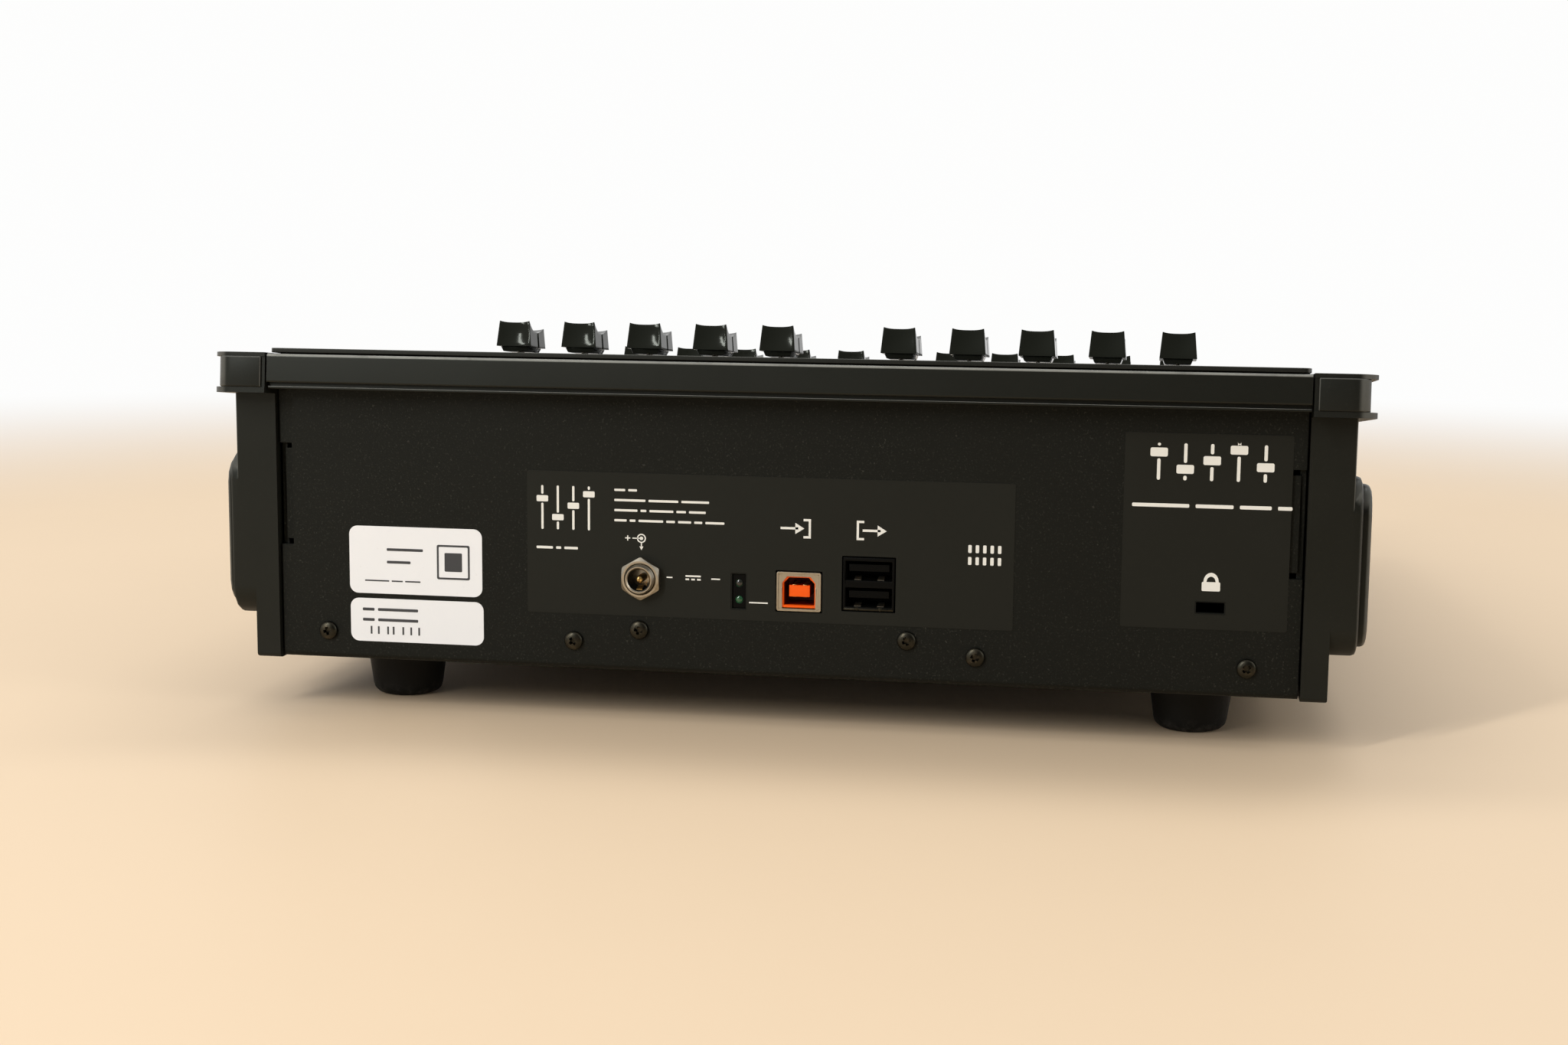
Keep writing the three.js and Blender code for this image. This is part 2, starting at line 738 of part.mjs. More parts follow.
// Bump key: a cap with bevelled top, a flange that keeps it under the plate and a stem to its switch
function bumpKey() {
  const outline = (inset) =>
    filletedOutline(
      rectangleCorners(0, 0, keyWidth - 2 * inset, keyLength - 2 * inset),
      keyCornerRadius - inset,
    );
  const flangeTop = -frameTopDepth;
  const cap = loft(
    [
      ringOf(outline(0), flangeTop - keyFlangeThick / 2, 1),
      ringOf(outline(0), keyLift - keyEdge, 1),
      ringOf(outline(keyEdge), keyLift, 1),
    ],
    (p) => new THREE.Vector2(p.x, p.y),
  );
  const [a, b] = [keyHoleWidth / 2 + keyFlange, keyHalfFlangeLength];
  const flange = box(-a, a, -b, b, flangeTop - keyFlangeThick, flangeTop);
  const stemFoot = switchHeight - boardTopDepth + keyTravel + seatGap;
  const [s, t] = [keyStemWidth / 2, flangeTop - keyFlangeThick / 2];
  return geometryOf(joined([solid(cap), solid(flange), solid(box(-s, s, -s, s, stemFoot, t))]));
}

// End cheek: stepped side wall under a channel-shaped rail, ribbed on its hidden inner side
function cheekBody() {
  const end = rearFace + cheekRearProud;
  const low = footHeight - cheekDrop;
  const topDepth = railTopDepth + railLipThick;
  const side = filletedOutline(
    [[-end, low], [end, low], [end, deckHeight(end, topDepth)], [-end, deckHeight(-end, topDepth)]],
    [cheekEdgeRadius, cheekEdgeRadius, 0, 0],
  );
  const [inner, lower, upper] = [cheekInner, cheekInner + cheekLowerThick, cheekInner + cheekUpperThick];
  const across = filletedOutline(
    [
      [inner, low - cutOverrun],
      [inner, deckRearHeight],
      [upper, deckRearHeight],
      [upper, cheekStepHeight],
      [lower, cheekStepHeight],
      [lower, low],
      [lower - cheekEdgeRadius, low],
      [lower - cheekEdgeRadius, low - cutOverrun],
    ].reverse(),
    [0, 0, cheekEdgeRadius, 0, 0, 0, 0, 0],
  );
  const plan = filletedOutline(
    [[inner, -end], [upper, -end], [upper, end], [inner, end]],
    [0, cheekCornerRadius, cheekCornerRadius, 0],
  );
  return solid(alongX(side, inner, upper))
    .intersect(solid(alongY(across, -end, end)))
    .intersect(solid(alongZ(plan, 0, deckRearHeight)));
}

function railLayer(proud, endProud, topDepth, bottomDepth) {
  const [x, y] = [cheekInner + railThick + proud, frameLength / 2 + endProud];
  const corner = railCornerRadius + proud;
  const plan = filletedOutline(
    [[cheekInner, -y], [x, -y], [x, y], [cheekInner, y]],
    [0, corner, corner, 0],
  );
  return solid(alongZ(plan, -bottomDepth, -topDepth, roundSteps + 1).applyMatrix4(deckMatrix));
}

function cheekPockets() {
  const end = rearFace + cheekRearProud - cheekWall;
  const low = footHeight - cheekDrop + cheekWall;
  const deep = cheekInner + cheekLowerThick - cheekWall;
  const top = (y) => deckHeight(y, railBottomDepth);
  const cells = cheekRibCount + 1;
  const cellLength = (2 * end + cheekRibThick) / cells;
  const pockets = [];
  for (let cell = 0; cell < cells; cell += 1) {
    const y0 = -end + cell * cellLength;
    const y1 = y0 + cellLength - cheekRibThick;
    const outline = filletedOutline([[y0, low], [y1, low], [y1, top(y1)], [y0, top(y0)]], 0);
    pockets.push(solid(alongX(outline, cheekInner - cutOverrun, deep)));
  }
  return pockets;
}

function endCheek() {
  const outer = joined([
    cheekBody(),
    coverLayer(
      0,
      rearFace + cheekRearProud,
      cheekInner + cheekLowerThick,
      cheekUpperThick - cheekLowerThick + coverBaseThick,
    ),
    railLayer(0, 0, railTopDepth, railBottomDepth),
    railLayer(railLipProud, railLipEndProud, railTopDepth, railTopDepth + railLipThick),
    railLayer(railLipProud, railLipEndProud, railBottomDepth - railLowerLipThick, railBottomDepth),
  ]);
  return geometryOf(cheekPockets().reduce((body, pocket) => body.subtract(pocket), outer));
}

// A raised layer on the cheek that follows the wedge
function coverLayer(inset, rear, seat, thick) {
  const front = coverFront + inset;
  const drop = (y) => (rearFace - y) * Math.tan(slope);
  const outline = filletedOutline(
    [
      [front, coverBottomHeight + inset],
      [rear, coverBottomHeight + inset],
      [rear, coverTopHeight - inset - drop(rear)],
      [front, coverTopHeight - inset - drop(front)],
    ],
    coverCornerRadius - inset / 2,
  );
  const turn = new THREE.Matrix4().makeBasis(
    new THREE.Vector3(0, 1, 0),
    new THREE.Vector3(0, 0, 1),
    new THREE.Vector3(1, 0, 0),
  );
  const geometry = new THREE.ExtrudeGeometry(outline, {
    depth: thick,
    bevelThickness: coverEdgeRadius,
    bevelSize: coverEdgeRadius,
    bevelOffset: -coverEdgeRadius,
    bevelSegments: 2,
    curveSegments: roundSteps,
  });
  return solid(geometry.applyMatrix4(turn).translate(seat - coverEdgeRadius, 0, 0));
}

// Side cover: a pad on the cheek's bulge
function sideCover() {
  const seat = cheekInner + cheekUpperThick + coverBaseThick;
  const pad = coverLayer(coverFaceInset, rearFace - coverFaceInset, seat, coverFaceThick);
  const room = box(seat - 2 * coverEdgeRadius, seat, -rearFace, rearFace, footHeight, deckRearHeight);
  return geometryOf(pad.subtract(solid(room)));
}

// Foot: turned rubber with a drafted side, a rounded lower edge and a screw recess
function footGeometry() {
  const profile = [
    new THREE.Vector2(0, footRecessDepth),
    new THREE.Vector2(footRecessRadius, footRecessDepth),
    new THREE.Vector2(footRecessRadius, 0),
  ];
  const edgeSteps = roundSteps + 1;
  for (let step = 0; step <= edgeSteps; step += 1) {
    const angle = (step / edgeSteps) * (Math.PI / 2);
    profile.push(
      new THREE.Vector2(
        footBottomRadius - footEdgeRadius * (1 - Math.sin(angle)),
        footEdgeRadius * (1 - Math.cos(angle)),
      ),
    );
  }
  profile.push(new THREE.Vector2(footTopRadius, footHeight), new THREE.Vector2(0, footHeight));
  return geometryOf(solid(new THREE.LatheGeometry(profile, footSides).rotateX(Math.PI / 2)));
}

// Power inlet: threaded barrel through the wall, square body inside it and a centre pin
function powerInlet() {
  const mouth = rearFace + inletProud;
  const bodyRear = rearInner - seatGap;
  const bodyFront = bodyRear - inletBodyLength;
  const w = inletBodyWidth / 2;
  const barrel = levelCylinder(
    inletX,
    inletHeight,
    bodyRear - sheet,
    mouth,
    inletBarrelRadius,
    inletSides,
  );
  const body = box(inletX - w, inletX + w, bodyFront, bodyRear, ioBoardTop + seatGap, inletHeight + w);
  const bore = levelCylinder(
    inletX,
    inletHeight,
    mouth - inletBoreDepth,
    mouth + cutOverrun,
    inletBoreRadius,
    inletSides,
  );
  const pin = levelCylinder(
    inletX,
    inletHeight,
    mouth - inletBoreDepth - sheet / 2,
    mouth - inletPinSetback,
    inletPinRadius,
    inletSides / 2,
  );
  return geometryOf(solid(barrel).add(solid(body)).subtract(solid(bore)).add(solid(pin)));
}

function inletNut() {
  const cornerRadius = nutFlats / Math.sqrt(3);
  const hexagon = new THREE.CylinderGeometry(cornerRadius, cornerRadius, nutThick, 6);
  const bore = new THREE.CylinderGeometry(
    inletBarrelRadius + seatGap,
    inletBarrelRadius + seatGap,
    nutThick + cutOverrun,
    inletSides,
  );
  return geometryOf(solid(hexagon).subtract(solid(bore)));
}

// Square socket
function squareShell() {
  const [low, high, mouth] = [squareLow, squareHigh, rearFace + squareProud];
  const outline = filletedOutline(
    rectangleCorners(squareX, (low + high) / 2, squareWidth, high - low),
    squareWall,
  );
  const inner = rectangleCorners(
    squareX,
    (low + high) / 2,
    squareWidth - 2 * squareWall,
    high - low - 2 * squareWall,
  );
  const back = mouth - squareLength;
  const cavity = alongY(filletedOutline(inner, 0), back + squareWall, mouth + cutOverrun);
  return geometryOf(solid(alongY(outline, back, mouth)).subtract(solid(cavity)));
}

function squareInsert() {
  const middle = (squareLow + squareHigh) / 2;
  const mouth = rearFace + squareProud - insertSetback;
  const back = rearFace + squareProud - squareLength + squareWall + seatGap;
  const clear = squareWall + seatGap;
  const [w, h] = [squareWidth / 2 - clear, (squareHigh - squareLow) / 2 - clear];
  const block = box(squareX - w, squareX + w, back, mouth, middle - h, middle + h);
  const [a, b, c] = [w - insertSideWall, h - insertTopWall, insertMouthChamfer];
  const corners = [[-a, -b], [a, -b], [a, b - c], [a - c, b], [c - a, b], [-a, b - c]];
  const opening = filletedOutline(corners.map(([x, z]) => [squareX + x, middle + z]), 0);
  const cavity = alongY(opening, mouth - insertMouthDepth, mouth + cutOverrun);
  const [p, q] = [a - tongueSideGap, b - tongueTopGap];
  const tongue = box(
    squareX - p,
    squareX + p,
    mouth - insertMouthDepth - insertSetback,
    mouth - tongueSetback,
    middle - q,
    middle + q,
  );
  return geometryOf(solid(block).subtract(solid(cavity)).add(solid(tongue)));
}

// Stacked pair of flat sockets
function socketStack() {
  const mouth = rearFace + stackProud;
  const w = stackWidth / 2;
  let body = solid(box(stackX - w, stackX + w, mouth - stackLength, mouth, stackLow, stackHigh));
  const cellTall = stackTall / 2;
  const [a, b] = [w - stackSideWall, cellTall / 2 - stackTopWall];
  const t = a - stackTongueSideGap;
  for (const cell of [0, 1]) {
    const middle = stackLow + (cell + 1 / 2) * cellTall;
    const [back, past] = [mouth - stackMouthDepth, mouth + cutOverrun];
    body = body.subtract(solid(box(stackX - a, stackX + a, back, past, middle - b, middle + b)));
    const tongueTop = middle + b - stackTongueThick / 2;
    body = body.add(
      solid(
        box(
          stackX - t,
          stackX + t,
          mouth - stackMouthDepth - stackTongueSetback,
          mouth - stackTongueSetback,
          tongueTop - stackTongueThick,
          tongueTop,
        ),
      ),
    );
  }
  return geometryOf(body);
}

// Connector board with the indicator block that looks out through its slot
function ioBoard() {
  const board = box(ioBoardLeft, ioBoardRight, ioBoardFront, ioBoardRear, ioBoardBottom, ioBoardTop);
  const w = ledSlotWidth / 2 - seatGap;
  const ledFace = rearFace - ledSetback;
  const block = box(
    ledX - w,
    ledX + w,
    ledFace - ledBlockLength,
    ledFace,
    ledSlotLow + seatGap,
    ledSlotHigh - seatGap,
  );
  const stalk = box(
    ledX - w,
    ledX + w,
    ledFace - ledBlockLength,
    ioBoardRear,
    ioBoardTop - boardThick / 2,
    ledSlotLow + 2 * seatGap,
  );
  return geometryOf(joined([solid(board), solid(block), solid(stalk)]));
}

// Assembly
const wing = new THREE.Group();
const deck = new THREE.Group();
deck.position.set(0, deckShift, deckMidHeight);
deck.rotation.x = slope;
wing.add(deck);

function place(parent, name, geometry, finish, x = 0, y = 0, z = 0) {
  const mesh = new THREE.Mesh(geometry, finish);
  mesh.name = name;
  mesh.position.set(x, y, z);
  parent.add(mesh);
  return mesh;
}

place(wing, 'base_tray', baseTray(), powderCoat);
place(deck, 'top_frame', topFrame(), satinBlack);
place(deck, 'face_plate', facePlate(), plateBlack);
place(deck, 'control_board', controlBoard(), boardGreen);

const cheek = endCheek();
const cover = sideCover();
place(wing, 'right_end_cheek', cheek, satinBlack);
place(wing, 'left_end_cheek', mirrored(cheek, 'x'), satinBlack);
place(wing, 'right_side_cover', cover, satinBlack);
place(wing, 'left_side_cover', mirrored(cover, 'x'), satinBlack);

const foot = footGeometry();
const [footX, footY] = [trayWidth / 2 - footInset, rearFace - footSetback];
for (const [yName, ySide] of [['rear', 1], ['front', -1]]) {
  for (const [xName, xSide] of [['left', -1], ['right', 1]]) {
    place(wing, `${yName}_${xName}_foot`, foot, rubber, xSide * footX, ySide * footY);
  }
}

place(wing, 'io_board', ioBoard(), boardGreen);
place(wing, 'power_inlet', powerInlet(), nickel);
place(wing, 'power_inlet_nut', inletNut(), nickel, inletX, rearFace + nutThick / 2, inletHeight);
place(wing, 'square_socket_shell', squareShell(), nickel);
place(wing, 'square_socket_insert', squareInsert(), orange);
place(wing, 'flat_socket_stack', socketStack(), socketBlack);

const cap = faderCap();
const key = bumpKey();
bankCentres.forEach((centre, bank) => {
  place(deck, `${bankNames[bank]}_display_lens`, displayLens(centre), lensBlack);
  columnPlaces.forEach((x, column) => {
    const number = String(column + 1).padStart(2, '0');
    place(deck, `${bankNames[bank]}_fader_${number}`, cap, capBlack, x, centre - faderTravel / 2);
    place(deck, `${bankNames[bank]}_key_${number}`, key, keyGrey, x, centre + keyOffset);
  });
});

export default wing;
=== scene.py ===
# Looks of the lighting fader wing: camera, light, finishes on the model's own pieces, and the fine
# pieces that its solids leave out, such as fader caps, screws, contacts, label plates and marks
import math

import bpy
import bmesh
from mathutils import Matrix, Vector


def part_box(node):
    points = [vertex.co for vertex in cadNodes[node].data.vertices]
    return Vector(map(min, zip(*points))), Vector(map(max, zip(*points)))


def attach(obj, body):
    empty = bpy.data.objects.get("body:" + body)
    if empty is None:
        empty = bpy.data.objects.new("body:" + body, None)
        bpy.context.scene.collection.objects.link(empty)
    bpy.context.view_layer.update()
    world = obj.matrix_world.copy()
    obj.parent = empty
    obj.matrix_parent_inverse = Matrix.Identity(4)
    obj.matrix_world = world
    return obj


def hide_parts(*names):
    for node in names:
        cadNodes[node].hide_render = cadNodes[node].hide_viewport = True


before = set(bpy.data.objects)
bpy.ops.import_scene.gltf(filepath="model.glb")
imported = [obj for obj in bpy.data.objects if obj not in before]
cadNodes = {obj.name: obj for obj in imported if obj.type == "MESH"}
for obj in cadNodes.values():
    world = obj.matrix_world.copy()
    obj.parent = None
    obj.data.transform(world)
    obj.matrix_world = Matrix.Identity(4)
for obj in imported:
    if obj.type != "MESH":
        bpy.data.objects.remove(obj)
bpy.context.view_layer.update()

mm = 0.001
bankNames = ("rear", "front")
columnNumbers = range(1, 11)


# Shader maths


class Wire:  # one output of a node, so that sums on patterns read as sums
    def __init__(self, finish, socket):
        self.finish = finish
        self.socket = socket

    def sum(self, operation, first, second):
        return self.finish.add("Math", {"operation": operation}, {0: first, 1: second})

    def __add__(self, other):
        return self.sum("ADD", self, other)

    def __radd__(self, other):
        return self.sum("ADD", other, self)

    def __sub__(self, other):
        return self.sum("SUBTRACT", self, other)

    def __rsub__(self, other):
        return self.sum("SUBTRACT", other, self)

    def __mul__(self, other):
        return self.sum("MULTIPLY", self, other)

    def __rmul__(self, other):
        return self.sum("MULTIPLY", other, self)


class Finish:  # one material, or the world, and its nodes
    def __init__(self, name, world=None):
        self.material = world or bpy.data.materials.new(name)
        self.material.use_nodes = True
        self.tree = self.material.node_tree
        self.tree.nodes.clear()
        self.place = self.add("TexCoord", output="Generated" if world else "Object")

    def add(self, kind, settings=None, inputs=None, output=0):
        node = self.tree.nodes.new("ShaderNode" + kind)
        for name, value in (settings or {}).items():
            setattr(node, name, value)
        for name, value in (inputs or {}).items():
            if isinstance(value, Wire):
                self.tree.links.new(value.socket, node.inputs[name])
            else:
                node.inputs[name].default_value = value
        return Wire(self, node.outputs[output]) if node.outputs else None

    def noise(self, size, detail=2.0, roughness=0.5):  # size of one grain, in metres
        inputs = {"Vector": self.place, "Scale": 1 / size, "Detail": detail, "Roughness": roughness}
        return self.add("TexNoise", {}, inputs)

    def between(self, value, low, high, first=0.0, last=1.0):
        inputs = {0: value, 1: low, 2: high, 3: first, 4: last}
        return self.add("MapRange", {"interpolation_type": "SMOOTHSTEP"}, inputs)

    def blend(self, mask, first, second):
        return self.add("Mix", {"data_type": "RGBA"}, {0: mask, 6: first, 7: second}, output=2)

    def bump(self, height, depth, strength=1.0):
        return self.add("Bump", {}, {"Height": height, "Distance": depth, "Strength": strength})

    def along(self, axis):  # place along X, Y or Z, in metres
        return self.add("SeparateXYZ", {}, {0: self.place}, output=axis)

    def facing(self, axis):  # how far the surface faces along X, Y or Z
        normal = self.add("NewGeometry", output="Normal")
        return self.add("SeparateXYZ", {}, {0: normal}, output=axis)

    def done(self, inputs):
        surface = self.add("BsdfPrincipled", {}, inputs)
        self.add("OutputMaterial", {}, {"Surface": surface})
        return self.material


def rgb(red, green, blue):
    return (red, green, blue, 1.0)


# Finishes

blackMetal = {
    "wall": rgb(0.0038, 0.0039, 0.0028),
    # colour of the painted glints on the powder coat
    "wallGlint": rgb(0.04, 0.04, 0.032),
    "wallGrain": 0.55 * mm,
    "wallCloud": 30 * mm,
    # size of the sparser painted glint spots
    "wallGlintSpot": 1.1 * mm,
    "wallDepth": 0.06 * mm,
    "wallShine": 0.19,
    "sheen": rgb(0.93, 0.98, 0.89),
    "band": rgb(0.0082, 0.0083, 0.0062),
    "bandGrain": 0.45 * mm,
    "bandCloud": 22 * mm,
    "bandDepth": 0.012 * mm,
    "bandShine": 0.24,
    # colour of the painted highlight on rounded edges
    "edgeHighlightColour": rgb(0.32, 0.32, 0.29),
    "edgeHighlightShare": 0.7,
    "edgeHighlightPatch": 9 * mm,
    "plate": rgb(0.0095, 0.0096, 0.0082),
    "plateGrain": 0.26 * mm,
    "plateHands": 38 * mm,
    "plateDepth": 0.014 * mm,
    "dust": rgb(0.12, 0.115, 0.1),
    "dustShare": 0.05,
    "dustPatch": 16 * mm,
}


def dusted(finish, colour, share, dust):
    # a little dust stays on what faces up
    patches = finish.between(finish.noise(blackMetal["dustPatch"], 4.0, 0.6), 0.42, 0.75)
    upward = finish.between(finish.facing("Z"), 0.55, 0.95)
    return finish.blend(patches * upward * share, colour, dust)


def paintedEdgeHighlight(finish, share):
    # painted highlight on rounded edges that face up or sideways, broken into patches by noise
    upward = finish.facing("Z")
    sideways = finish.add("Math", {"operation": "ABSOLUTE"}, {0: finish.facing("X")})
    top = finish.between(upward, 0.2, 0.5) * (1 - finish.between(upward, 0.88, 0.96))
    end = finish.between(sideways, 0.25, 0.5) * (1 - finish.between(sideways, 0.86, 0.95))
    # noise that breaks the painted edge highlight into patches
    wearAndHighlightNoise = finish.between(finish.noise(blackMetal["edgeHighlightPatch"], 4.0, 0.7), 0.2, 0.55, 0.6, 1.0)
    return finish.add("Math", {"operation": "MAXIMUM"}, {0: top, 1: end}) * wearAndHighlightNoise * share


def powderCoat(values):
    finish = Finish("powder coat")
    grain = finish.noise(values["wallGrain"], 3.0, 0.7)
    broad = finish.noise(values["wallCloud"], 3.0)
    # painted glints: bright specks where the texture would catch light, painted into the colour
    fleckAndGlint = finish.between(grain, 0.54, 0.76)
    glintSpots = finish.between(finish.noise(values["wallGlintSpot"], 2.0), 0.7, 0.78)
    colour = finish.blend(fleckAndGlint * broad + 0.8 * glintSpots * broad, values["wall"], values["wallGlint"])
    return finish.done({
        "Base Color": dusted(finish, colour, values["dustShare"], values["dust"]),
        "Roughness": 0.5 + 0.16 * broad - 0.12 * fleckAndGlint,
        "Specular IOR Level": values["wallShine"],
        "Specular Tint": values["sheen"],
        "Normal": finish.bump(grain, values["wallDepth"], 0.8),
    })


def satinBand(values):
    finish = Finish("satin band")
    grain = finish.noise(values["bandGrain"], 2.0)
    broad = finish.noise(values["bandCloud"], 4.0, 0.6)
    # painted highlight along the band's rounded edges
    colour = finish.blend(paintedEdgeHighlight(finish, values["edgeHighlightShare"]), values["band"], values["edgeHighlightColour"])
    return finish.done({
        "Base Color": dusted(finish, colour, values["dustShare"], values["dust"]),
        "Roughness": 0.26 + 0.12 * broad + 0.05 * grain,
        "Specular IOR Level": values["bandShine"],
        "Specular Tint": values["sheen"],
        "Normal": finish.bump(grain, values["bandDepth"], 0.6),
    })


def satinPlate(values):
    finish = Finish("satin face plate")
    grain = finish.noise(values["plateGrain"], 2.0)
    hands = finish.noise(values["plateHands"], 4.0, 0.6)
    # painted highlight along the plate's rounded edges, at half strength
    colour = finish.blend(paintedEdgeHighlight(finish, values["edgeHighlightShare"] * 0.5), values["plate"], values["edgeHighlightColour"])
    return finish.done({
        "Base Color": dusted(finish, colour, values["dustShare"] * 1.6, values["dust"]),
        "Roughness": 0.38 + 0.1 * finish.between(hands, 0.3, 0.75) + 0.05 * grain,
        "Specular IOR Level": values["bandShine"],
        "Specular Tint": values["sheen"],
        "Normal": finish.bump(grain, values["plateDepth"], 0.6),
    })


blackPlastic = {
    "cheek": rgb(0.0072, 0.0075, 0.0058),
    "cheekPale": rgb(0.017, 0.0168, 0.0138),
    "cheekGrain": 0.7 * mm,
    "cheekCloud": 26 * mm,
    "cheekScuff": 5 * mm,
    "cheekDepth": 0.022 * mm,
    # strength of the painted edge highlight on the cheeks
    "cheekHighlightShare": 0.22,
    "cheekShine": 0.2,
    "cap": rgb(0.0155, 0.0164, 0.0122),
    "capGrain": 0.22 * mm,
    "capCloud": 3.5 * mm,
    "capDepth": 0.001 * mm,
    "capShine": 0.11,
    "socket": rgb(0.0022, 0.0022, 0.0018),
    "key": rgb(0.05, 0.052, 0.054),
    "keyWorn": rgb(0.075, 0.077, 0.08),
    "keyCloud": 6 * mm,
    "keyDepth": 0.008 * mm,
    "rubber": rgb(0.0042, 0.0041, 0.0032),
    "rubberDust": rgb(0.05, 0.046, 0.04),
    "rubberGrain": 0.35 * mm,
    "rubberScuff": 2.5 * mm,
    "rubberDepth": 0.02 * mm,
    "dustHeight": 5 * mm,  # on the feet, from the table up
    "fineGrain": 0.2 * mm,  # of the keys and sockets
}


def mouldedCheek(values):
    finish = Finish("moulded cheek")
    grain = finish.noise(values["cheekGrain"], 4.0, 0.65)
    broad = finish.noise(values["cheekCloud"], 4.0, 0.6)
    scuffs = finish.between(finish.noise(values["cheekScuff"], 5.0, 0.75), 0.66, 0.78)
    fleckAndGlint = finish.between(grain, 0.58, 0.72)
    shade = finish.blend(0.4 * broad + 0.3 * scuffs + 0.5 * fleckAndGlint, values["cheek"], values["cheekPale"])
    # painted highlight along the cheek's rounded edges, weaker than on the band
    colour = finish.blend(paintedEdgeHighlight(finish, values["cheekHighlightShare"]), shade, blackMetal["edgeHighlightColour"])
    return finish.done({
        "Base Color": dusted(finish, colour, blackMetal["dustShare"], blackMetal["dust"]),
        "Roughness": 0.3 + 0.16 * broad + 0.08 * grain,
        "Specular IOR Level": values["cheekShine"],
        "Specular Tint": blackMetal["sheen"],
        "Normal": finish.bump(grain, values["cheekDepth"], 0.7),
    })


def capPlastic(values):
    finish = Finish("cap plastic")
    grain = finish.noise(values["capGrain"], 2.0)
    wearAndHighlightNoise = finish.noise(values["capCloud"], 3.0, 0.6)
    return finish.done({
        "Base Color": values["cap"],
        "Roughness": 0.08 + 0.03 * wearAndHighlightNoise,
        "Specular IOR Level": values["capShine"],
        "Specular Tint": blackMetal["sheen"],
        "Normal": finish.bump(grain, values["capDepth"], 0.3),
    })


def keyPlastic(values):
    finish = Finish("key plastic")
    grain = finish.noise(values["fineGrain"], 2.0)
    wearAndHighlightNoise = finish.between(finish.noise(values["keyCloud"], 3.0), 0.4, 0.7)
    return finish.done({
        "Base Color": finish.blend(0.25 * wearAndHighlightNoise, values["key"], values["keyWorn"]),
        "Roughness": 0.48 + 0.1 * grain - 0.12 * wearAndHighlightNoise,
        "Specular IOR Level": 0.4,
        "Normal": finish.bump(grain, values["keyDepth"], 0.6),
    })


def footRubber(values):
    finish = Finish("foot rubber")
    grain = finish.noise(values["rubberGrain"], 3.0)
    low = 1 - finish.between(finish.along("Z"), 0.0, values["dustHeight"])
    wearAndHighlightNoise = finish.between(finish.noise(values["rubberScuff"], 4.0, 0.7), 0.4, 0.7)
    return finish.done({
        "Base Color": finish.blend(low * wearAndHighlightNoise * 0.7, values["rubber"], values["rubberDust"]),
        "Roughness": 0.5 + 0.2 * grain + 0.15 * low,
        "Specular IOR Level": 0.18,
        "Normal": finish.bump(grain, values["rubberDepth"], 0.7),
    })


def socketPlastic(values):
    finish = Finish("socket plastic")
    grain = finish.noise(values["fineGrain"], 2.0)
    return finish.done({
        "Base Color": values["socket"],
        "Roughness": 0.4 + 0.12 * grain,
        "Specular IOR Level": 0.07,
        "Normal": finish.bump(grain, 0.005 * mm, 0.5),
    })


smallParts = {
    "nickel": rgb(0.43, 0.385, 0.305),
    "nickelStain": rgb(0.3, 0.23, 0.14),
    "gold": rgb(0.72, 0.47, 0.17),
    "screw": rgb(0.034, 0.032, 0.024),
    "screwWorn": rgb(0.11, 0.09, 0.06),
    "orange": rgb(0.95, 0.12, 0.002),
    "orangeWorn": rgb(0.88, 0.085, 0.001),
    # colour of the painted shade inside the socket's mouth
    "orangeShaded": rgb(0.16, 0.006, 0.001),
    "glass": rgb(0.0035, 0.004, 0.005),
    "print": rgb(0.78, 0.78, 0.73),
    "sticker": rgb(0.82, 0.84, 0.86),
    "label": rgb(0.0098, 0.0099, 0.0078),
    "labelPale": rgb(0.0145, 0.0142, 0.0115),
    "rule": rgb(0.045, 0.047, 0.05),
    "mask": rgb(0.012, 0.085, 0.03),
    "maskTrack": rgb(0.02, 0.14, 0.05),
    "housing": rgb(0.012, 0.012, 0.012),
    "green": rgb(0.008, 0.05, 0.018),
    "unlit": rgb(0.01, 0.011, 0.008),
    "stainPatch": 2.2 * mm,
    "metalGrain": 0.25 * mm,
    "tongueGrain": 0.3 * mm,
    "tongueShadeEdge": (2.0 * mm, 1.1 * mm),  # where the painted shade inside the mouth gives way to lit orange, behind the mouth
    "smearPatch": 24 * mm,
    "inkGrain": 0.18 * mm,
    "inkWorn": 0.9 * mm,
    "labelGrain": 0.36 * mm,
    "labelCloud": 20 * mm,
    "ledCloud": 1.2 * mm,
}


def wornMetal(name, colour, stain, rough, share):
    finish = Finish(name)
    broad = finish.noise(smallParts["stainPatch"], 4.0, 0.65)
    fine = finish.noise(smallParts["metalGrain"], 3.0)
    mask = finish.between(broad, 0.45, 0.75) * share
    return finish.done({
        "Base Color": finish.blend(mask, colour, stain),
        "Metallic": 1.0,
        "Roughness": rough + 0.14 * broad + 0.08 * fine,
        "Normal": finish.bump(fine, 0.004 * mm, 0.5),
    })


def orangeTongue(values, mouth):
    # painted shade: deep red inside the mouth, bright orange in front where light reaches
    finish = Finish("orange tongue")
    grain = finish.noise(values["tongueGrain"], 2.0)
    deep, bright = values["tongueShadeEdge"]
    front = finish.between(finish.along("Y"), mouth - deep, mouth - bright)
    lit = finish.blend(grain * 0.5, values["orange"], values["orangeWorn"])
    return finish.done({
        "Base Color": finish.blend(front, values["orangeShaded"], lit),
        "Roughness": 0.34 + 0.1 * grain,
        "Specular IOR Level": 0.25,
        "Subsurface Weight": 0.12,
        "Subsurface Radius": (0.8 * mm, 0.2 * mm, 0.1 * mm),
        "Subsurface Scale": 1.0,
        "Normal": finish.bump(grain, 0.006 * mm, 0.4),
    })


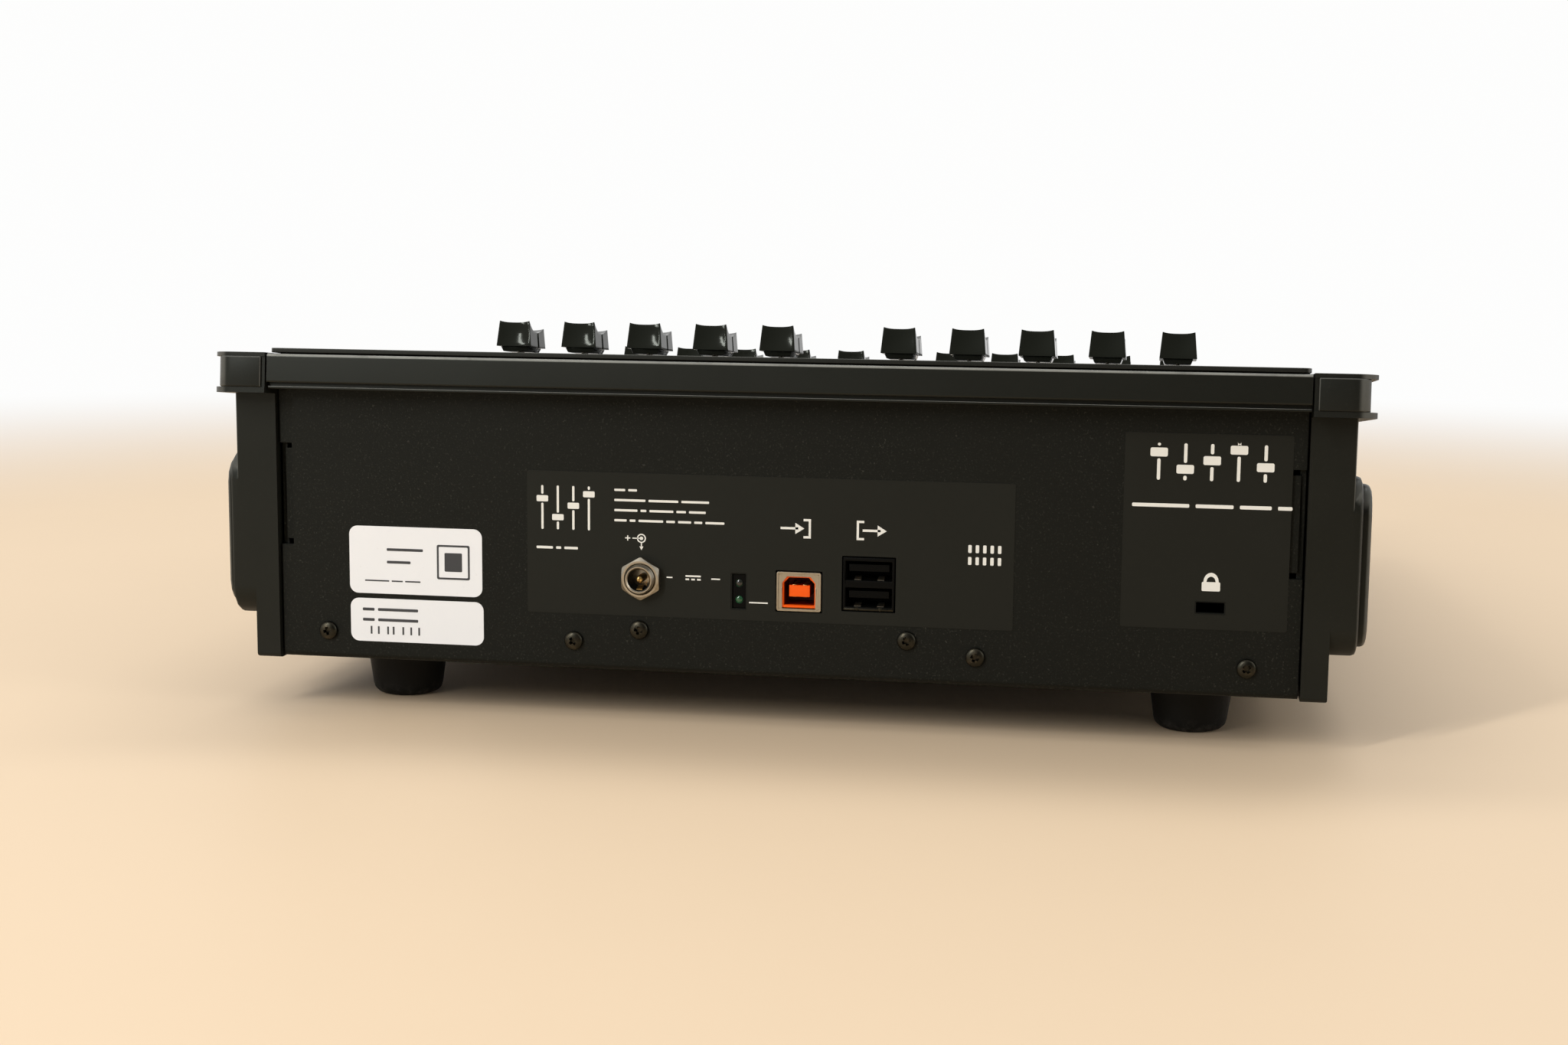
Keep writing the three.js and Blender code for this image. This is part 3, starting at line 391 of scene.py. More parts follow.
def displayGlass(values):
    finish = Finish("display glass")
    smear = finish.between(finish.noise(values["smearPatch"], 5.0, 0.6), 0.4, 0.75)
    return finish.done({
        "Base Color": values["glass"],
        "Roughness": 0.06 + 0.12 * smear,
        "Specular IOR Level": 0.5,
    })


def printInk(name, colour, rough=0.5):
    finish = Finish(name)
    grain = finish.noise(smallParts["inkGrain"], 3.0)
    thin = finish.between(finish.noise(smallParts["inkWorn"], 4.0, 0.7), 0.62, 0.8)
    darker = rgb(*(0.75 * c for c in colour[:3]))
    return finish.done({
        "Base Color": finish.blend(thin * 0.5, colour, darker),
        "Roughness": rough + 0.1 * grain,
        "Specular IOR Level": 0.35,
        "Normal": finish.bump(grain, 0.003 * mm, 0.4),
    })


def labelFoil(values):
    finish = Finish("label foil")
    grain = finish.noise(values["labelGrain"], 3.0, 0.6)
    broad = finish.noise(values["labelCloud"], 3.0)
    return finish.done({
        "Base Color": finish.blend(0.35 * broad, values["label"], values["labelPale"]),
        "Roughness": 0.4 + 0.12 * broad + 0.06 * grain,
        "Specular IOR Level": 0.18,
        "Specular Tint": blackMetal["sheen"],
        "Normal": finish.bump(grain, 0.01 * mm, 0.6),
    })


def boardMask(values, slope, top):
    # green board below, black slide housings and switches above it
    finish = Finish("board mask")
    wave = {"Vector": finish.place, "Scale": 180.0, "Distortion": 6.0, "Detail": 2.0}
    tracks = finish.add("TexWave", {"wave_type": "BANDS", "bands_direction": "DIAGONAL"}, wave, output="Fac")
    board = finish.blend(finish.between(tracks, 0.55, 0.62), values["mask"], values["maskTrack"])
    rise = finish.along("Z") - finish.along("Y") * math.tan(slope)
    above = finish.between(rise, top - 0.1 * mm, top + 0.1 * mm)
    return finish.done({
        "Base Color": finish.blend(above, board, values["housing"]),
        "Roughness": 0.42 + 0.1 * tracks,
        "Specular IOR Level": 0.4,
    })


def ledLens(name, colour, glow):
    finish = Finish(name)
    cloud = finish.noise(smallParts["ledCloud"], 2.0)
    bright = rgb(*(min(1.0, 1.8 * c) for c in colour[:3]))
    return finish.done({
        "Base Color": finish.blend(cloud, colour, bright),
        "Roughness": 0.14 + 0.1 * cloud,
        "Coat Weight": 0.5,
        "Emission Color": colour,
        "Emission Strength": glow,
    })


# Where things are

deck = {
    "slope": math.radians(5.75),
    "plateLength": 367.6 * mm,
    "travelCentres": {"rear": 82.6 * mm, "front": -88.1 * mm},
    "restPlace": -30 * mm,  # from the middle of the travel
    "columnPitch": 21.7 * mm,
    "innerColumn": 19.45 * mm,
    "boardTop": -9.4 * mm,
    "railDepth": 6.8 * mm,  # from the deck down to the middle of the docking rail
}
plateLow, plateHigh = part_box("face_plate")
deckHeight = plateHigh.z - deck["plateLength"] / 2 * math.sin(deck["slope"])
deckShift = -deck["railDepth"] * math.sin(deck["slope"])
deckMatrix = Matrix.Translation((0, deckShift, deckHeight)) @ Matrix.Rotation(deck["slope"], 4, "X")

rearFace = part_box("base_tray")[1].y
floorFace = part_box("base_tray")[0].z
# on the rear wall, X runs to the viewer's right, Y up and Z out of the wall
wallMatrix = Matrix(((-1, 0, 0, 0), (0, 0, 1, rearFace), (0, 1, 0, 0), (0, 0, 0, 1)))
# on the underside, Z points down
floorMatrix = Matrix(((1, 0, 0, 0), (0, -1, 0, 0), (0, 0, -1, floorFace), (0, 0, 0, 1)))


def columnPlace(number):
    half = len(columnNumbers) // 2
    steps = number - half - 1 if number > half else half - number
    side = 1 if number > half else -1
    return side * (deck["innerColumn"] + steps * deck["columnPitch"])


boardRise = deckHeight - deckShift * math.tan(deck["slope"])
boardRise += (deck["boardTop"] + 0.2 * mm) / math.cos(deck["slope"])  # just over the board's face
finishes = {
    "powder": powderCoat(blackMetal),
    "band": satinBand(blackMetal),
    "plate": satinPlate(blackMetal),
    "cheek": mouldedCheek(blackPlastic),
    "cap": capPlastic(blackPlastic),
    "key": keyPlastic(blackPlastic),
    "rubber": footRubber(blackPlastic),
    "socket": socketPlastic(blackPlastic),
    "nickel": wornMetal("nickel plate", smallParts["nickel"], smallParts["nickelStain"], 0.2, 0.5),
    "gold": wornMetal("gold contact", smallParts["gold"], smallParts["nickelStain"], 0.22, 0.3),
    "screw": wornMetal("blackened screw", smallParts["screw"], smallParts["screwWorn"], 0.26, 0.5),
    "orange": orangeTongue(smallParts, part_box("square_socket_insert")[1].y),
    "glass": displayGlass(smallParts),
    "print": printInk("white print", smallParts["print"]),
    "sticker": printInk("sticker vinyl", smallParts["sticker"], 0.36),
    "rule": printInk("grey print", smallParts["rule"]),
    "label": labelFoil(smallParts),
    "board": boardMask(smallParts, deck["slope"], boardRise),
    "green": ledLens("green indicator", smallParts["green"], 0.15),
    "unlit": ledLens("unlit indicator", smallParts["unlit"], 0.0),
}
print("finishes made:", len(finishes))


# Mesh helpers


def pieceOf(name, mesh, materials, body):
    for material in materials:
        mesh.materials.append(finishes[material])
    piece = bpy.data.objects.new(name, mesh)
    bpy.context.scene.collection.objects.link(piece)
    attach(piece, body)
    return piece


def meshOf(name, parts, matrix=Matrix()):
    # one mesh from several bmesh parts, moved into place
    whole = bmesh.new()
    for part in parts:
        spare = bpy.data.meshes.new("spare")
        part.to_mesh(spare)
        part.free()
        whole.from_mesh(spare)
        bpy.data.meshes.remove(spare)
    whole.transform(matrix)
    mesh = bpy.data.meshes.new(name)
    whole.to_mesh(mesh)
    whole.free()
    return mesh


def smoothByAngle(mesh, degrees=32):
    mesh.shade_smooth()
    mesh.set_sharp_from_angle(angle=math.radians(degrees))
    return mesh


def lathe(profile, sides):
    # profile of (radius, height) pairs, turned round Z; radius 0 closes an end
    part = bmesh.new()
    rings = []
    for radius, height in profile:
        if radius == 0:
            rings.append([part.verts.new((0, 0, height))])
        else:
            turn = [2 * math.pi * i / sides for i in range(sides)]
            rings.append([part.verts.new((radius * math.cos(a), radius * math.sin(a), height)) for a in turn])
    for low, high in zip(rings, rings[1:]):
        for i in range(sides):
            j = (i + 1) % sides
            corners = [low[i % len(low)], low[j % len(low)], high[j % len(high)], high[i % len(high)]]
            part.faces.new(list(dict.fromkeys(corners)))
    bmesh.ops.recalc_face_normals(part, faces=part.faces)
    return part


def block(low, high, edge=0.0, segments=2):
    part = bmesh.new()
    bmesh.ops.create_cube(part, size=1.0)
    for vertex in part.verts:
        vertex.co = Vector(l + (c + 0.5) * (h - l) for l, h, c in zip(low, high, vertex.co))
    if edge:
        bmesh.ops.bevel(part, geom=part.edges[:], offset=edge, segments=segments, profile=0.5, affect="EDGES")
    return part


def prism(outlines, low, high):
    # flat outlines, with holes as further outlines, raised from low to high
    curve = bpy.data.curves.new("prism", "CURVE")
    curve.dimensions = "2D"
    curve.fill_mode = "BOTH"
    curve.extrude = (high - low) / 2
    for outline in outlines:
        spline = curve.splines.new("POLY")
        spline.points.add(len(outline) - 1)
        for point, (a, b) in zip(spline.points, outline):
            point.co = (a, b, 0, 1)
        spline.use_cyclic_u = True
    return bodyOfCurve(curve, (low + high) / 2)


def bodyOfCurve(curve, lift):
    holder = bpy.data.objects.new("spare", curve)
    bpy.context.scene.collection.objects.link(holder)
    bpy.context.view_layer.update()
    evaluated = holder.evaluated_get(bpy.context.evaluated_depsgraph_get())
    mesh = bpy.data.meshes.new_from_object(evaluated)
    part = bmesh.new()
    part.from_mesh(mesh)
    bmesh.ops.remove_doubles(part, verts=part.verts, dist=0.001 * mm)
    bmesh.ops.translate(part, verts=part.verts, vec=(0, 0, lift))
    bmesh.ops.recalc_face_normals(part, faces=part.faces)
    bpy.data.objects.remove(holder)
    bpy.data.curves.remove(curve)
    bpy.data.meshes.remove(mesh)
    return part


def carved(part, cutters, operation="DIFFERENCE"):
    # the part with each cutter taken out of it, or with only what they share kept
    for cutter in cutters:
        bodies = []
        for name, shape in (("carvedPart", part), ("cutterPart", cutter)):
            mesh = bpy.data.meshes.new(name)
            shape.to_mesh(mesh)
            shape.free()
            holder = bpy.data.objects.new(name, mesh)
            bpy.context.scene.collection.objects.link(holder)
            bodies.append(holder)
        cut = bodies[0].modifiers.new("cut", "BOOLEAN")
        cut.object, cut.operation, cut.solver = bodies[1], operation, "EXACT"
        bpy.context.view_layer.update()
        evaluated = bodies[0].evaluated_get(bpy.context.evaluated_depsgraph_get())
        mesh = bpy.data.meshes.new_from_object(evaluated)
        part = bmesh.new()
        part.from_mesh(mesh)
        bpy.data.meshes.remove(mesh)
        for holder in bodies:
            spare = holder.data
            bpy.data.objects.remove(holder)
            bpy.data.meshes.remove(spare)
    return part


def moved(part, offset, turn=0.0):
    part.transform(Matrix.Translation(offset) @ Matrix.Rotation(turn, 4, "Z"))
    return part


def smallBlock(low, high, edge):
    # a block given in millimetres
    return block([a * mm for a in low], [a * mm for a in high], edge * mm)


def fixedPiece(name, parts, finish, degrees=32, matrix=wallMatrix):
    # a piece that stays with the chassis, on the rear wall unless a matrix says otherwise
    mesh = smoothByAngle(meshOf(name, parts, matrix), degrees)
    return pieceOf(name, mesh, (finish,), "chassis")


# Flat outlines, in millimetres, for marks and plates


def rounded(x0, y0, x1, y1, radius=0.0, steps=5):
    if not radius:
        return [(x0 * mm, y0 * mm), (x1 * mm, y0 * mm), (x1 * mm, y1 * mm), (x0 * mm, y1 * mm)]
    points = []
    corners = ((x1 - radius, y0 + radius, -90), (x1 - radius, y1 - radius, 0),
               (x0 + radius, y1 - radius, 90), (x0 + radius, y0 + radius, 180))
    for cx, cy, start in corners:
        for step in range(steps + 1):
            angle = math.radians(start + 90 * step / steps)
            points.append(((cx + radius * math.cos(angle)) * mm, (cy + radius * math.sin(angle)) * mm))
    return points


def disc(x, y, radius, steps=28):
    return [((x + radius * math.cos(2 * math.pi * i / steps)) * mm,
             (y + radius * math.sin(2 * math.pi * i / steps)) * mm) for i in range(steps)]


def polygon(points):
    return [(x * mm, y * mm) for x, y in points]


def stroke(x0, y0, x1, y1, width):
    # a straight line of that width
    along = Vector((x1 - x0, y1 - y0)).normalized() * width / 2
    across = Vector((-along.y, along.x))
    return polygon([(x0 - across.x, y0 - across.y), (x1 - across.x, y1 - across.y),
                    (x1 + across.x, y1 + across.y), (x0 + across.x, y0 + across.y)])


# Finishes on the model's own pieces


def softenEdges(node, width, segments=2, angle=28):
    # the model's mesh stays as it is: modifiers join its facets, round its edges and shade them
    mesh = node.data
    for name in ("custom_normal", "sharp_edge", "sharp_face"):
        if name in mesh.attributes:
            mesh.attributes.remove(mesh.attributes[name])
    mesh.shade_smooth()
    weld = node.modifiers.new("weld", "WELD")
    weld.merge_threshold = 0.002 * mm
    bevel = node.modifiers.new("edges", "BEVEL")
    bevel.width, bevel.segments = width, segments
    bevel.limit_method, bevel.angle_limit = "ANGLE", math.radians(angle)
    bevel.use_clamp_overlap = True
    bevel.miter_outer = "MITER_ARC"
    shade = node.modifiers.new("shade", "WEIGHTED_NORMAL")
    shade.mode, shade.weight = "FACE_AREA_WITH_ANGLE", 50
    shade.keep_sharp = False


nodeLooks = {  # finish and width of the rounded edges
    "base_tray": ("powder", 0.35 * mm),
    "top_frame": ("band", 0.2 * mm),
    "face_plate": ("plate", 0.14 * mm),
    "control_board": ("board", 0.12 * mm),
    "io_board": ("board", 0.12 * mm),
    "square_socket_shell": ("nickel", 0.12 * mm),
    "square_socket_insert": ("orange", 0.15 * mm),
    "flat_socket_stack": ("socket", 0.15 * mm),
}
for sideName in ("right", "left"):
    nodeLooks[f"{sideName}_end_cheek"] = nodeLooks[f"{sideName}_side_cover"] = ("cheek", 0.35 * mm)
    nodeLooks[f"rear_{sideName}_foot"] = nodeLooks[f"front_{sideName}_foot"] = ("rubber", 0.4 * mm)
for bank in bankNames:
    nodeLooks[f"{bank}_display_lens"] = ("glass", 0.2 * mm)
    for number in columnNumbers:
        nodeLooks[f"{bank}_key_{number:02d}"] = ("key", 0.25 * mm)

for name, (finishName, edgeWidth) in nodeLooks.items():
    node = cadNodes[name]
    for materialSlot in node.material_slots:
        materialSlot.material = finishes[finishName]
    softenEdges(node, edgeWidth)
print("model's own pieces dressed:", len(nodeLooks))


# Fader caps

cap = {
    "topLength": 16.4 * mm,
    "skirtLength": 17.6 * mm,
    "topWidth": 10.0 * mm,
    "skirtWidth": 11.5 * mm,
    "skirtLift": 7.0 * mm,
    "rearLift": 15.3 * mm,
    "valleyLift": 11.9 * mm,
    "frontLift": 13.6 * mm,
    "valley": (0.42, 0.6),  # along the cap from its front end
    "dish": 0.55 * mm,
    "scoop": 0.62 * mm,
    "grooveShare": 0.46,
    "grooveHalf": (0.011, 0.032, 0.055),  # floor, wall and lip of the groove round the waist
    "grooveDepth": (0.42 * mm, 0.3 * mm, 0.0),
    "edge": 0.13 * mm,
    "plugLift": 5.4 * mm,
    "plugInset": 1.1 * mm,
    "plugTaper": 0.65 * mm,
    "leverThick": 1.2 * mm,
    "leverLength": 5 * mm,
    "leverFoot": -6.3 * mm,
    "columns": 12,
    "stations": 22,
    "rows": 6,
}


def capTop(values, share):
    # steep towards the rear, with a small lip at the front end
    low, (front, rear) = values["valleyLift"], values["valley"]
    if share > rear:
        return low + (values["rearLift"] - low) * ((share - rear) / (1 - rear)) ** 2.1
    if share < front:
        return low + (values["frontLift"] - low) * ((front - share) / front) ** 1.3
    return low


def grooveDepth(values, share):
    for half, depth in zip(values["grooveHalf"], values["grooveDepth"]):
        if abs(share - values["grooveShare"]) < half + 1e-6:
            return depth
    return 0.0


def capPoint(values, across, along, up):
    # across -1 to 1, along 0 at the front to 1 at the rear, up 0 at the skirt to 1 at the top
    top = capTop(values, along) - values["dish"] * (1 - abs(across) ** 3)
    z = values["skirtLift"] + up * (top - values["skirtLift"])
    share = (z - values["skirtLift"]) / (values["rearLift"] - values["skirtLift"])
    width = values["skirtWidth"] + share * (values["topWidth"] - values["skirtWidth"])
    length = values["skirtLength"] + share * (values["topLength"] - values["skirtLength"])
    x, y = across * width / 2, (along - 0.5) * length
    if along == 1:
        y -= values["scoop"] * (1 - across ** 2) * math.sin(math.pi * (0.15 + 0.7 * up))
    groove = grooveDepth(values, along)
    if abs(across) == 1:
        x -= math.copysign(groove, across)
    if up == 1:
        z -= 0.5 * groove
    return Vector((x, y, z))


def capStations(values):
    middle, widest = values["grooveShare"], values["grooveHalf"][-1]
    even = [i / values["stations"] for i in range(values["stations"] + 1)]
    kept = [share for share in even if abs(share - middle) > 1.2 * widest]
    groove = [middle + side * half for side in (-1, 1) for half in values["grooveHalf"]]
    return sorted(kept + [middle] + groove)


def capShell(values):
    part = bmesh.new()
    stations, columns, rows = capStations(values), values["columns"], values["rows"]
    last = (columns, len(stations) - 1, rows)
    corners = {}

    def corner(i, j, k):
        if (i, j, k) not in corners:
            place = capPoint(values, 2 * i / columns - 1, stations[j], k / rows)
            corners[i, j, k] = part.verts.new(place)
        return corners[i, j, k]

    def face(a, b, c, d, finish=0):
        part.faces.new([corner(*a), corner(*b), corner(*c), corner(*d)]).material_index = finish

    middle = stations.index(values["grooveShare"])
    for i in range(columns):
        for j in range(last[1]):
            line = 1 if j in (middle - 1, middle) else 0  # the white line lies in the groove
            face((i, j, rows), (i + 1, j, rows), (i + 1, j + 1, rows), (i, j + 1, rows), line)
            face((i, j, 0), (i, j + 1, 0), (i + 1, j + 1, 0), (i + 1, j, 0))
        for k in range(rows):
            face((i, 0, k), (i + 1, 0, k), (i + 1, 0, k + 1), (i, 0, k + 1))
            face((i, last[1], k), (i, last[1], k + 1), (i + 1, last[1], k + 1), (i + 1, last[1], k))
    for j in range(last[1]):
        for k in range(rows):
            face((0, j, k), (0, j, k + 1), (0, j + 1, k + 1), (0, j + 1, k))
            face((columns, j, k), (columns, j + 1, k), (columns, j + 1, k + 1), (columns, j, k + 1))
    bmesh.ops.recalc_face_normals(part, faces=part.faces)
    sharp = [e for e in part.edges if len(e.link_faces) == 2 and e.calc_face_angle() > math.radians(50)]
    bmesh.ops.bevel(part, geom=sharp, offset=values["edge"], segments=2, profile=0.6, affect="EDGES",
                    clamp_overlap=True)
    return part


def capPlug(values):
    part = block((-0.5, -0.5, 0), (0.5, 0.5, 1))
    for vertex in part.verts:
        inset = values["plugInset"] + (0 if vertex.co.z > 0.5 else values["plugTaper"])
        vertex.co.x *= values["skirtWidth"] - 2 * inset
        vertex.co.y *= values["skirtLength"] - 2 * inset
        vertex.co.z = values["skirtLift"] - 0.02 * mm if vertex.co.z > 0.5 else values["plugLift"]
    bmesh.ops.bevel(part, geom=part.edges[:], offset=0.25 * mm, segments=2, profile=0.5, affect="EDGES")
    return part


def faderLever(values):
    x, y = values["leverThick"] / 2, values["leverLength"] / 2
    lever = block((-x, -y, values["leverFoot"]), (x, y, values["plugLift"]), 0.2 * mm)
    for face in lever.faces:
        face.material_index = 2
    return lever


capParts = [capShell(cap), capPlug(cap), faderLever(cap)]
capMesh = smoothByAngle(meshOf("faderCap", capParts))
for bank in bankNames:
    for number in columnNumbers:
        place = (columnPlace(number), deck["travelCentres"][bank] + deck["restPlace"], 0)
        mesh = capMesh.copy()
        mesh.transform(deckMatrix @ Matrix.Translation(place))
        node = f"{bank}_fader_{number:02d}"
        piece = pieceOf(f"{node}_cap", mesh, ("cap", "print", "nickel"), node)
        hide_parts(node)
bpy.data.meshes.remove(capMesh)
print("fader caps made:", len(bankNames) * len(columnNumbers))


# Raised blocks at the ends of the docking rails, between their lips

railEnd = {
    "faceLength": 369.4 * mm,  # of the rail, along the deck
    "inner": 140.0 * mm,
    "outer": 153.2 * mm,
    "corner": 5.0 * mm,
    "proud": 0.75 * mm,
    "sunk": 1.2 * mm,
    "top": -2.4 * mm,
    "bottom": -10.75 * mm,
    "edge": 0.45 * mm,
    "steps": 12,
}


def railEndBlock(values, side, end):
    # flat across the end, tapering into the rail round its outer corner
    face, corner = values["faceLength"] / 2, values["corner"]
    centre = (values["outer"] - corner, face - corner)
    outside, inside = [], []
    for step in range(values["steps"] + 1):
        share = step / values["steps"]
        angle = math.radians(90 - 72 * share)
        proud = values["proud"] * (1 - share ** 3) + 0.02 * mm
        for points, reach in ((outside, corner + proud), (inside, corner - values["sunk"])):
            points.append((centre[0] + reach * math.cos(angle), centre[1] + reach * math.sin(angle)))
    outline = [(values["inner"], face - values["sunk"]), (values["inner"], face + values["proud"])]
    outline += outside + inside[::-1]
    part = bmesh.new()
    levels = (values["bottom"], values["top"])
    loops = [[part.verts.new((side * x, end * y, z)) for x, y in outline] for z in levels]
    for i in range(len(outline)):
        j = (i + 1) % len(outline)
        part.faces.new([loops[0][i], loops[0][j], loops[1][j], loops[1][i]])
    for loop in loops:
        part.faces.new(loop)
    bmesh.ops.recalc_face_normals(part, faces=part.faces)
    rims = [e for e in part.edges if e.calc_face_angle(0) > math.radians(40)]
    bmesh.ops.bevel(part, geom=rims, offset=values["edge"], segments=4, profile=0.5, affect="EDGES",
                    clamp_overlap=True)
    return part


for sideName, side in (("right", 1), ("left", -1)):
    blocks = [railEndBlock(railEnd, side, end) for end in (-1, 1)]
    fixedPiece(f"{sideName}_rail_end_blocks", blocks, "cheek", 30, deckMatrix)
print("rail end blocks made")


# Screws

screw = {
    "headRadius": 2.6 * mm,
    "headHeight": 1.5 * mm,
    "headSunk": 0.3 * mm,
    "crossLength": 3.3 * mm,
    "crossWidth": 0.85 * mm,
    "crossDepth": 1.3 * mm,
    "sides": 36,
    "rear": ((-125.2, 22.1), (-54.8, 22.1), (-36.5, 25.8), (36.5, 25.8), (54.8, 22.1), (125.2, 22.1)),
    "rearTurns": (12, 40, 78, 25, 64, 38),
    "floor": ((-128, -160), (-128, 0), (-128, 160), (0, -160), (0, 160), (128, -160), (128, 0), (128, 160)),
    "footColumn": 111.75,
    "footRow": 148.57,
    "footSeat": 5.0 * mm,  # the recess in each foot, from the table up
}


def panHead(values):
    radius, height = values["headRadius"], values["headHeight"]
    profile = [(0, -values["headSunk"]), (radius * 0.97, -values["headSunk"]), (radius, 0)]
    for step in range(7):
        angle = math.radians(90 * step / 6)
        reach = radius * math.cos(angle) ** 0.62 if step < 6 else 0
        profile.append((reach, height * (0.28 + 0.72 * math.sin(angle))))
    head = lathe(profile, values["sides"])
    reach, half = values["crossLength"] / 2, values["crossWidth"] / 2
    deep = height - values["crossDepth"]
    cutters = []
    for turn in (0, math.pi / 2):
        wing = block((-reach, -half, deep), (reach, half, height * 2))
        for vertex in wing.verts:
            if vertex.co.z < height:
                vertex.co.x *= 0.45  # the cross tapers towards its point
        cutters.append(moved(wing, (0, 0, 0), turn))
    return carved(head, cutters)


def screwsAt(name, places, matrix, turns, lift=0.0):
    head = panHead(screw)
    heads = []
    for (x, y), turn in zip(places, turns):
        heads.append(moved(head.copy(), (x * mm, y * mm, lift), math.radians(turn)))
    head.free()
    return fixedPiece(name, heads, "screw", 40, matrix)


screwsAt("rear_wall_screws", screw["rear"], wallMatrix, screw["rearTurns"])
screwsAt("floor_screws", screw["floor"], floorMatrix, (5, 50, 20, 70, 33, 81, 15, 60))
footPlaces = [(x * screw["footColumn"], y * screw["footRow"]) for x in (-1, 1) for y in (-1, 1)]
screwsAt("foot_screws", footPlaces, floorMatrix, (10, 55, 30, 75), floorFace - screw["footSeat"])
print("screws made")


# Power inlet

inlet = {
    "place": (-35.8, 40.1),
    "barrelRadius": 4.0 * mm,
    "boreRadius": 3.1 * mm,
    "proud": 4.2 * mm,
    "boreDepth": 11 * mm,
    "barrelBack": 12.5 * mm,
    "housingHalf": 5.8 * mm,
    "housingBack": 12.8 * mm,
    "housingSetback": 2 * mm,
    "pinRadius": 1.05 * mm,
    "pinSetback": 1.0 * mm,
    "threadPitch": 0.5 * mm,
    "threadDepth": 0.22 * mm,
    "nutFlats": 10.3 * mm,
    "nutThick": 2.6 * mm,
    "chamfer": 0.55 * mm,
    "liningSetback": 0.45 * mm,
    "splitHalf": 0.12 * mm,
    "splitDeep": 3 * mm,
    "leafHalf": 0.8 * mm,
    "leafThick": 0.15 * mm,
    "leafLength": 7 * mm,
    "leafLift": 0.75 * mm,
}


def inletBarrel(values):
    outer, bore, mouth = values["barrelRadius"], values["boreRadius"], values["proud"]
    back = mouth - values["boreDepth"]
    profile = [(0, -values["barrelBack"]), (outer, -values["barrelBack"])]
    turns = int((mouth - values["chamfer"] * 2) / values["threadPitch"])
    for turn in range(turns):
        z = turn * values["threadPitch"]
        profile += [(outer, z), (outer - values["threadDepth"], z + values["threadPitch"] / 2)]
    profile += [(outer, turns * values["threadPitch"]), (outer, mouth - values["chamfer"]),
                (outer - values["chamfer"] * 0.7, mouth), (bore + 0.25 * mm, mouth),
                (bore, mouth - 0.3 * mm), (bore, back), (0, back)]
    return lathe(profile, 48)


def inletPin(values):
    radius = values["pinRadius"]
    tip = values["proud"] - values["pinSetback"]
    back = values["proud"] - values["boreDepth"] - 0.5 * mm
    profile = [(0, back), (radius, back), (radius, tip - radius * 0.8)]
    for step in range(1, 6):
        angle = math.radians(90 * step / 5)
        reach = radius * math.cos(angle) if step < 5 else 0
        profile.append((reach, tip - radius * 0.8 * (1 - math.sin(angle))))
    pin = lathe(profile, 24)
    half = values["splitHalf"]
    split = block((-half, -2 * radius, tip - values["splitDeep"]), (half, 2 * radius, tip + mm))
    return carved(pin, [split])


def inletLining(values):
    # black sleeve and floor inside the barrel
    bore, mouth = values["boreRadius"] - 0.02 * mm, values["proud"] - values["liningSetback"]
    back = values["proud"] - values["boreDepth"] + 0.3 * mm
    inner = bore - 0.14 * mm
    return lathe([(0, back), (bore, back), (bore, mouth), (inner, mouth - 0.1 * mm),
                  (inner, back + 0.1 * mm), (0, back + 0.1 * mm)], 48)


def inletSpring(values):
    # bent leaf that presses on a plug, low in the bore
    bore, half = values["boreRadius"] - 0.2 * mm, values["leafHalf"]
    part = bmesh.new()
    rows = []
    for step in range(9):
        share = step / 8
        z = values["proud"] - 1.2 * mm - share * values["leafLength"]
        lift = values["leafLift"] * math.sin(math.pi * min(1, share * 1.4)) + 0.12 * mm
        low, high = -bore + lift, -bore + lift + values["leafThick"]
        rows.append([(-half, low, z), (half, low, z), (half, high, z), (-half, high, z)])
    rings = [[part.verts.new(corner) for corner in row] for row in rows]
    for near, far in zip(rings, rings[1:]):
        for i in range(4):
            part.faces.new([near[i], near[(i + 1) % 4], far[(i + 1) % 4], far[i]])
    part.faces.new(rings[0])
    part.faces.new(rings[-1])
    bmesh.ops.recalc_face_normals(part, faces=part.faces)
    return part


def hexNut(values):
    half = values["nutFlats"] / 2
    corner = half / math.cos(math.pi / 6)
    outline = [(corner * math.cos(math.pi * (i / 3 + 1 / 6)), corner * math.sin(math.pi * (i / 3 + 1 / 6)))
               for i in range(6)]
    nut = prism([outline], 0, values["nutThick"])
    cut = corner - half
    top = values["nutThick"]
    side = corner - 0.15 * mm
    turned = lathe([(0, 0), (half + 0.1 * mm, 0), (side, cut * 0.5), (side, top - cut * 0.9),
                    (half - 0.25 * mm, top), (0, top)], 60)
    inner, rim = values["barrelRadius"] + 0.06 * mm, values["barrelRadius"] + 0.5 * mm
    bore = lathe([(0, -mm), (inner, -mm), (inner, top - 0.35 * mm), (rim, top + 0.1 * mm),
                  (rim, top + mm), (0, top + mm)], 48)
    return carved(carved(nut, [turned], "INTERSECT"), [bore])


inletMatrix = wallMatrix @ Matrix.Translation((inlet["place"][0] * mm, inlet["place"][1] * mm, 0))
half = inlet["housingHalf"]
housing = block((-half, -half, -inlet["housingBack"]), (half, half, -inlet["housingSetback"]), 0.4 * mm)
barrelParts = [inletBarrel(inlet), housing]
barrel = fixedPiece("power_inlet_barrel", barrelParts, "nickel", 30, inletMatrix)
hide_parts("power_inlet")
contacts = [inletPin(inlet), inletSpring(inlet)]
fixedPiece("power_inlet_contacts", contacts, "gold", 35, inletMatrix)
fixedPiece("power_inlet_lining", [inletLining(inlet)], "socket", 35, inletMatrix)
nut = fixedPiece("power_inlet_hex_nut", [hexNut(inlet)], "nickel", 24, inletMatrix)
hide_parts("power_inlet_nut")
print("power inlet made")


# Contacts in the data sockets and the pair of indicators

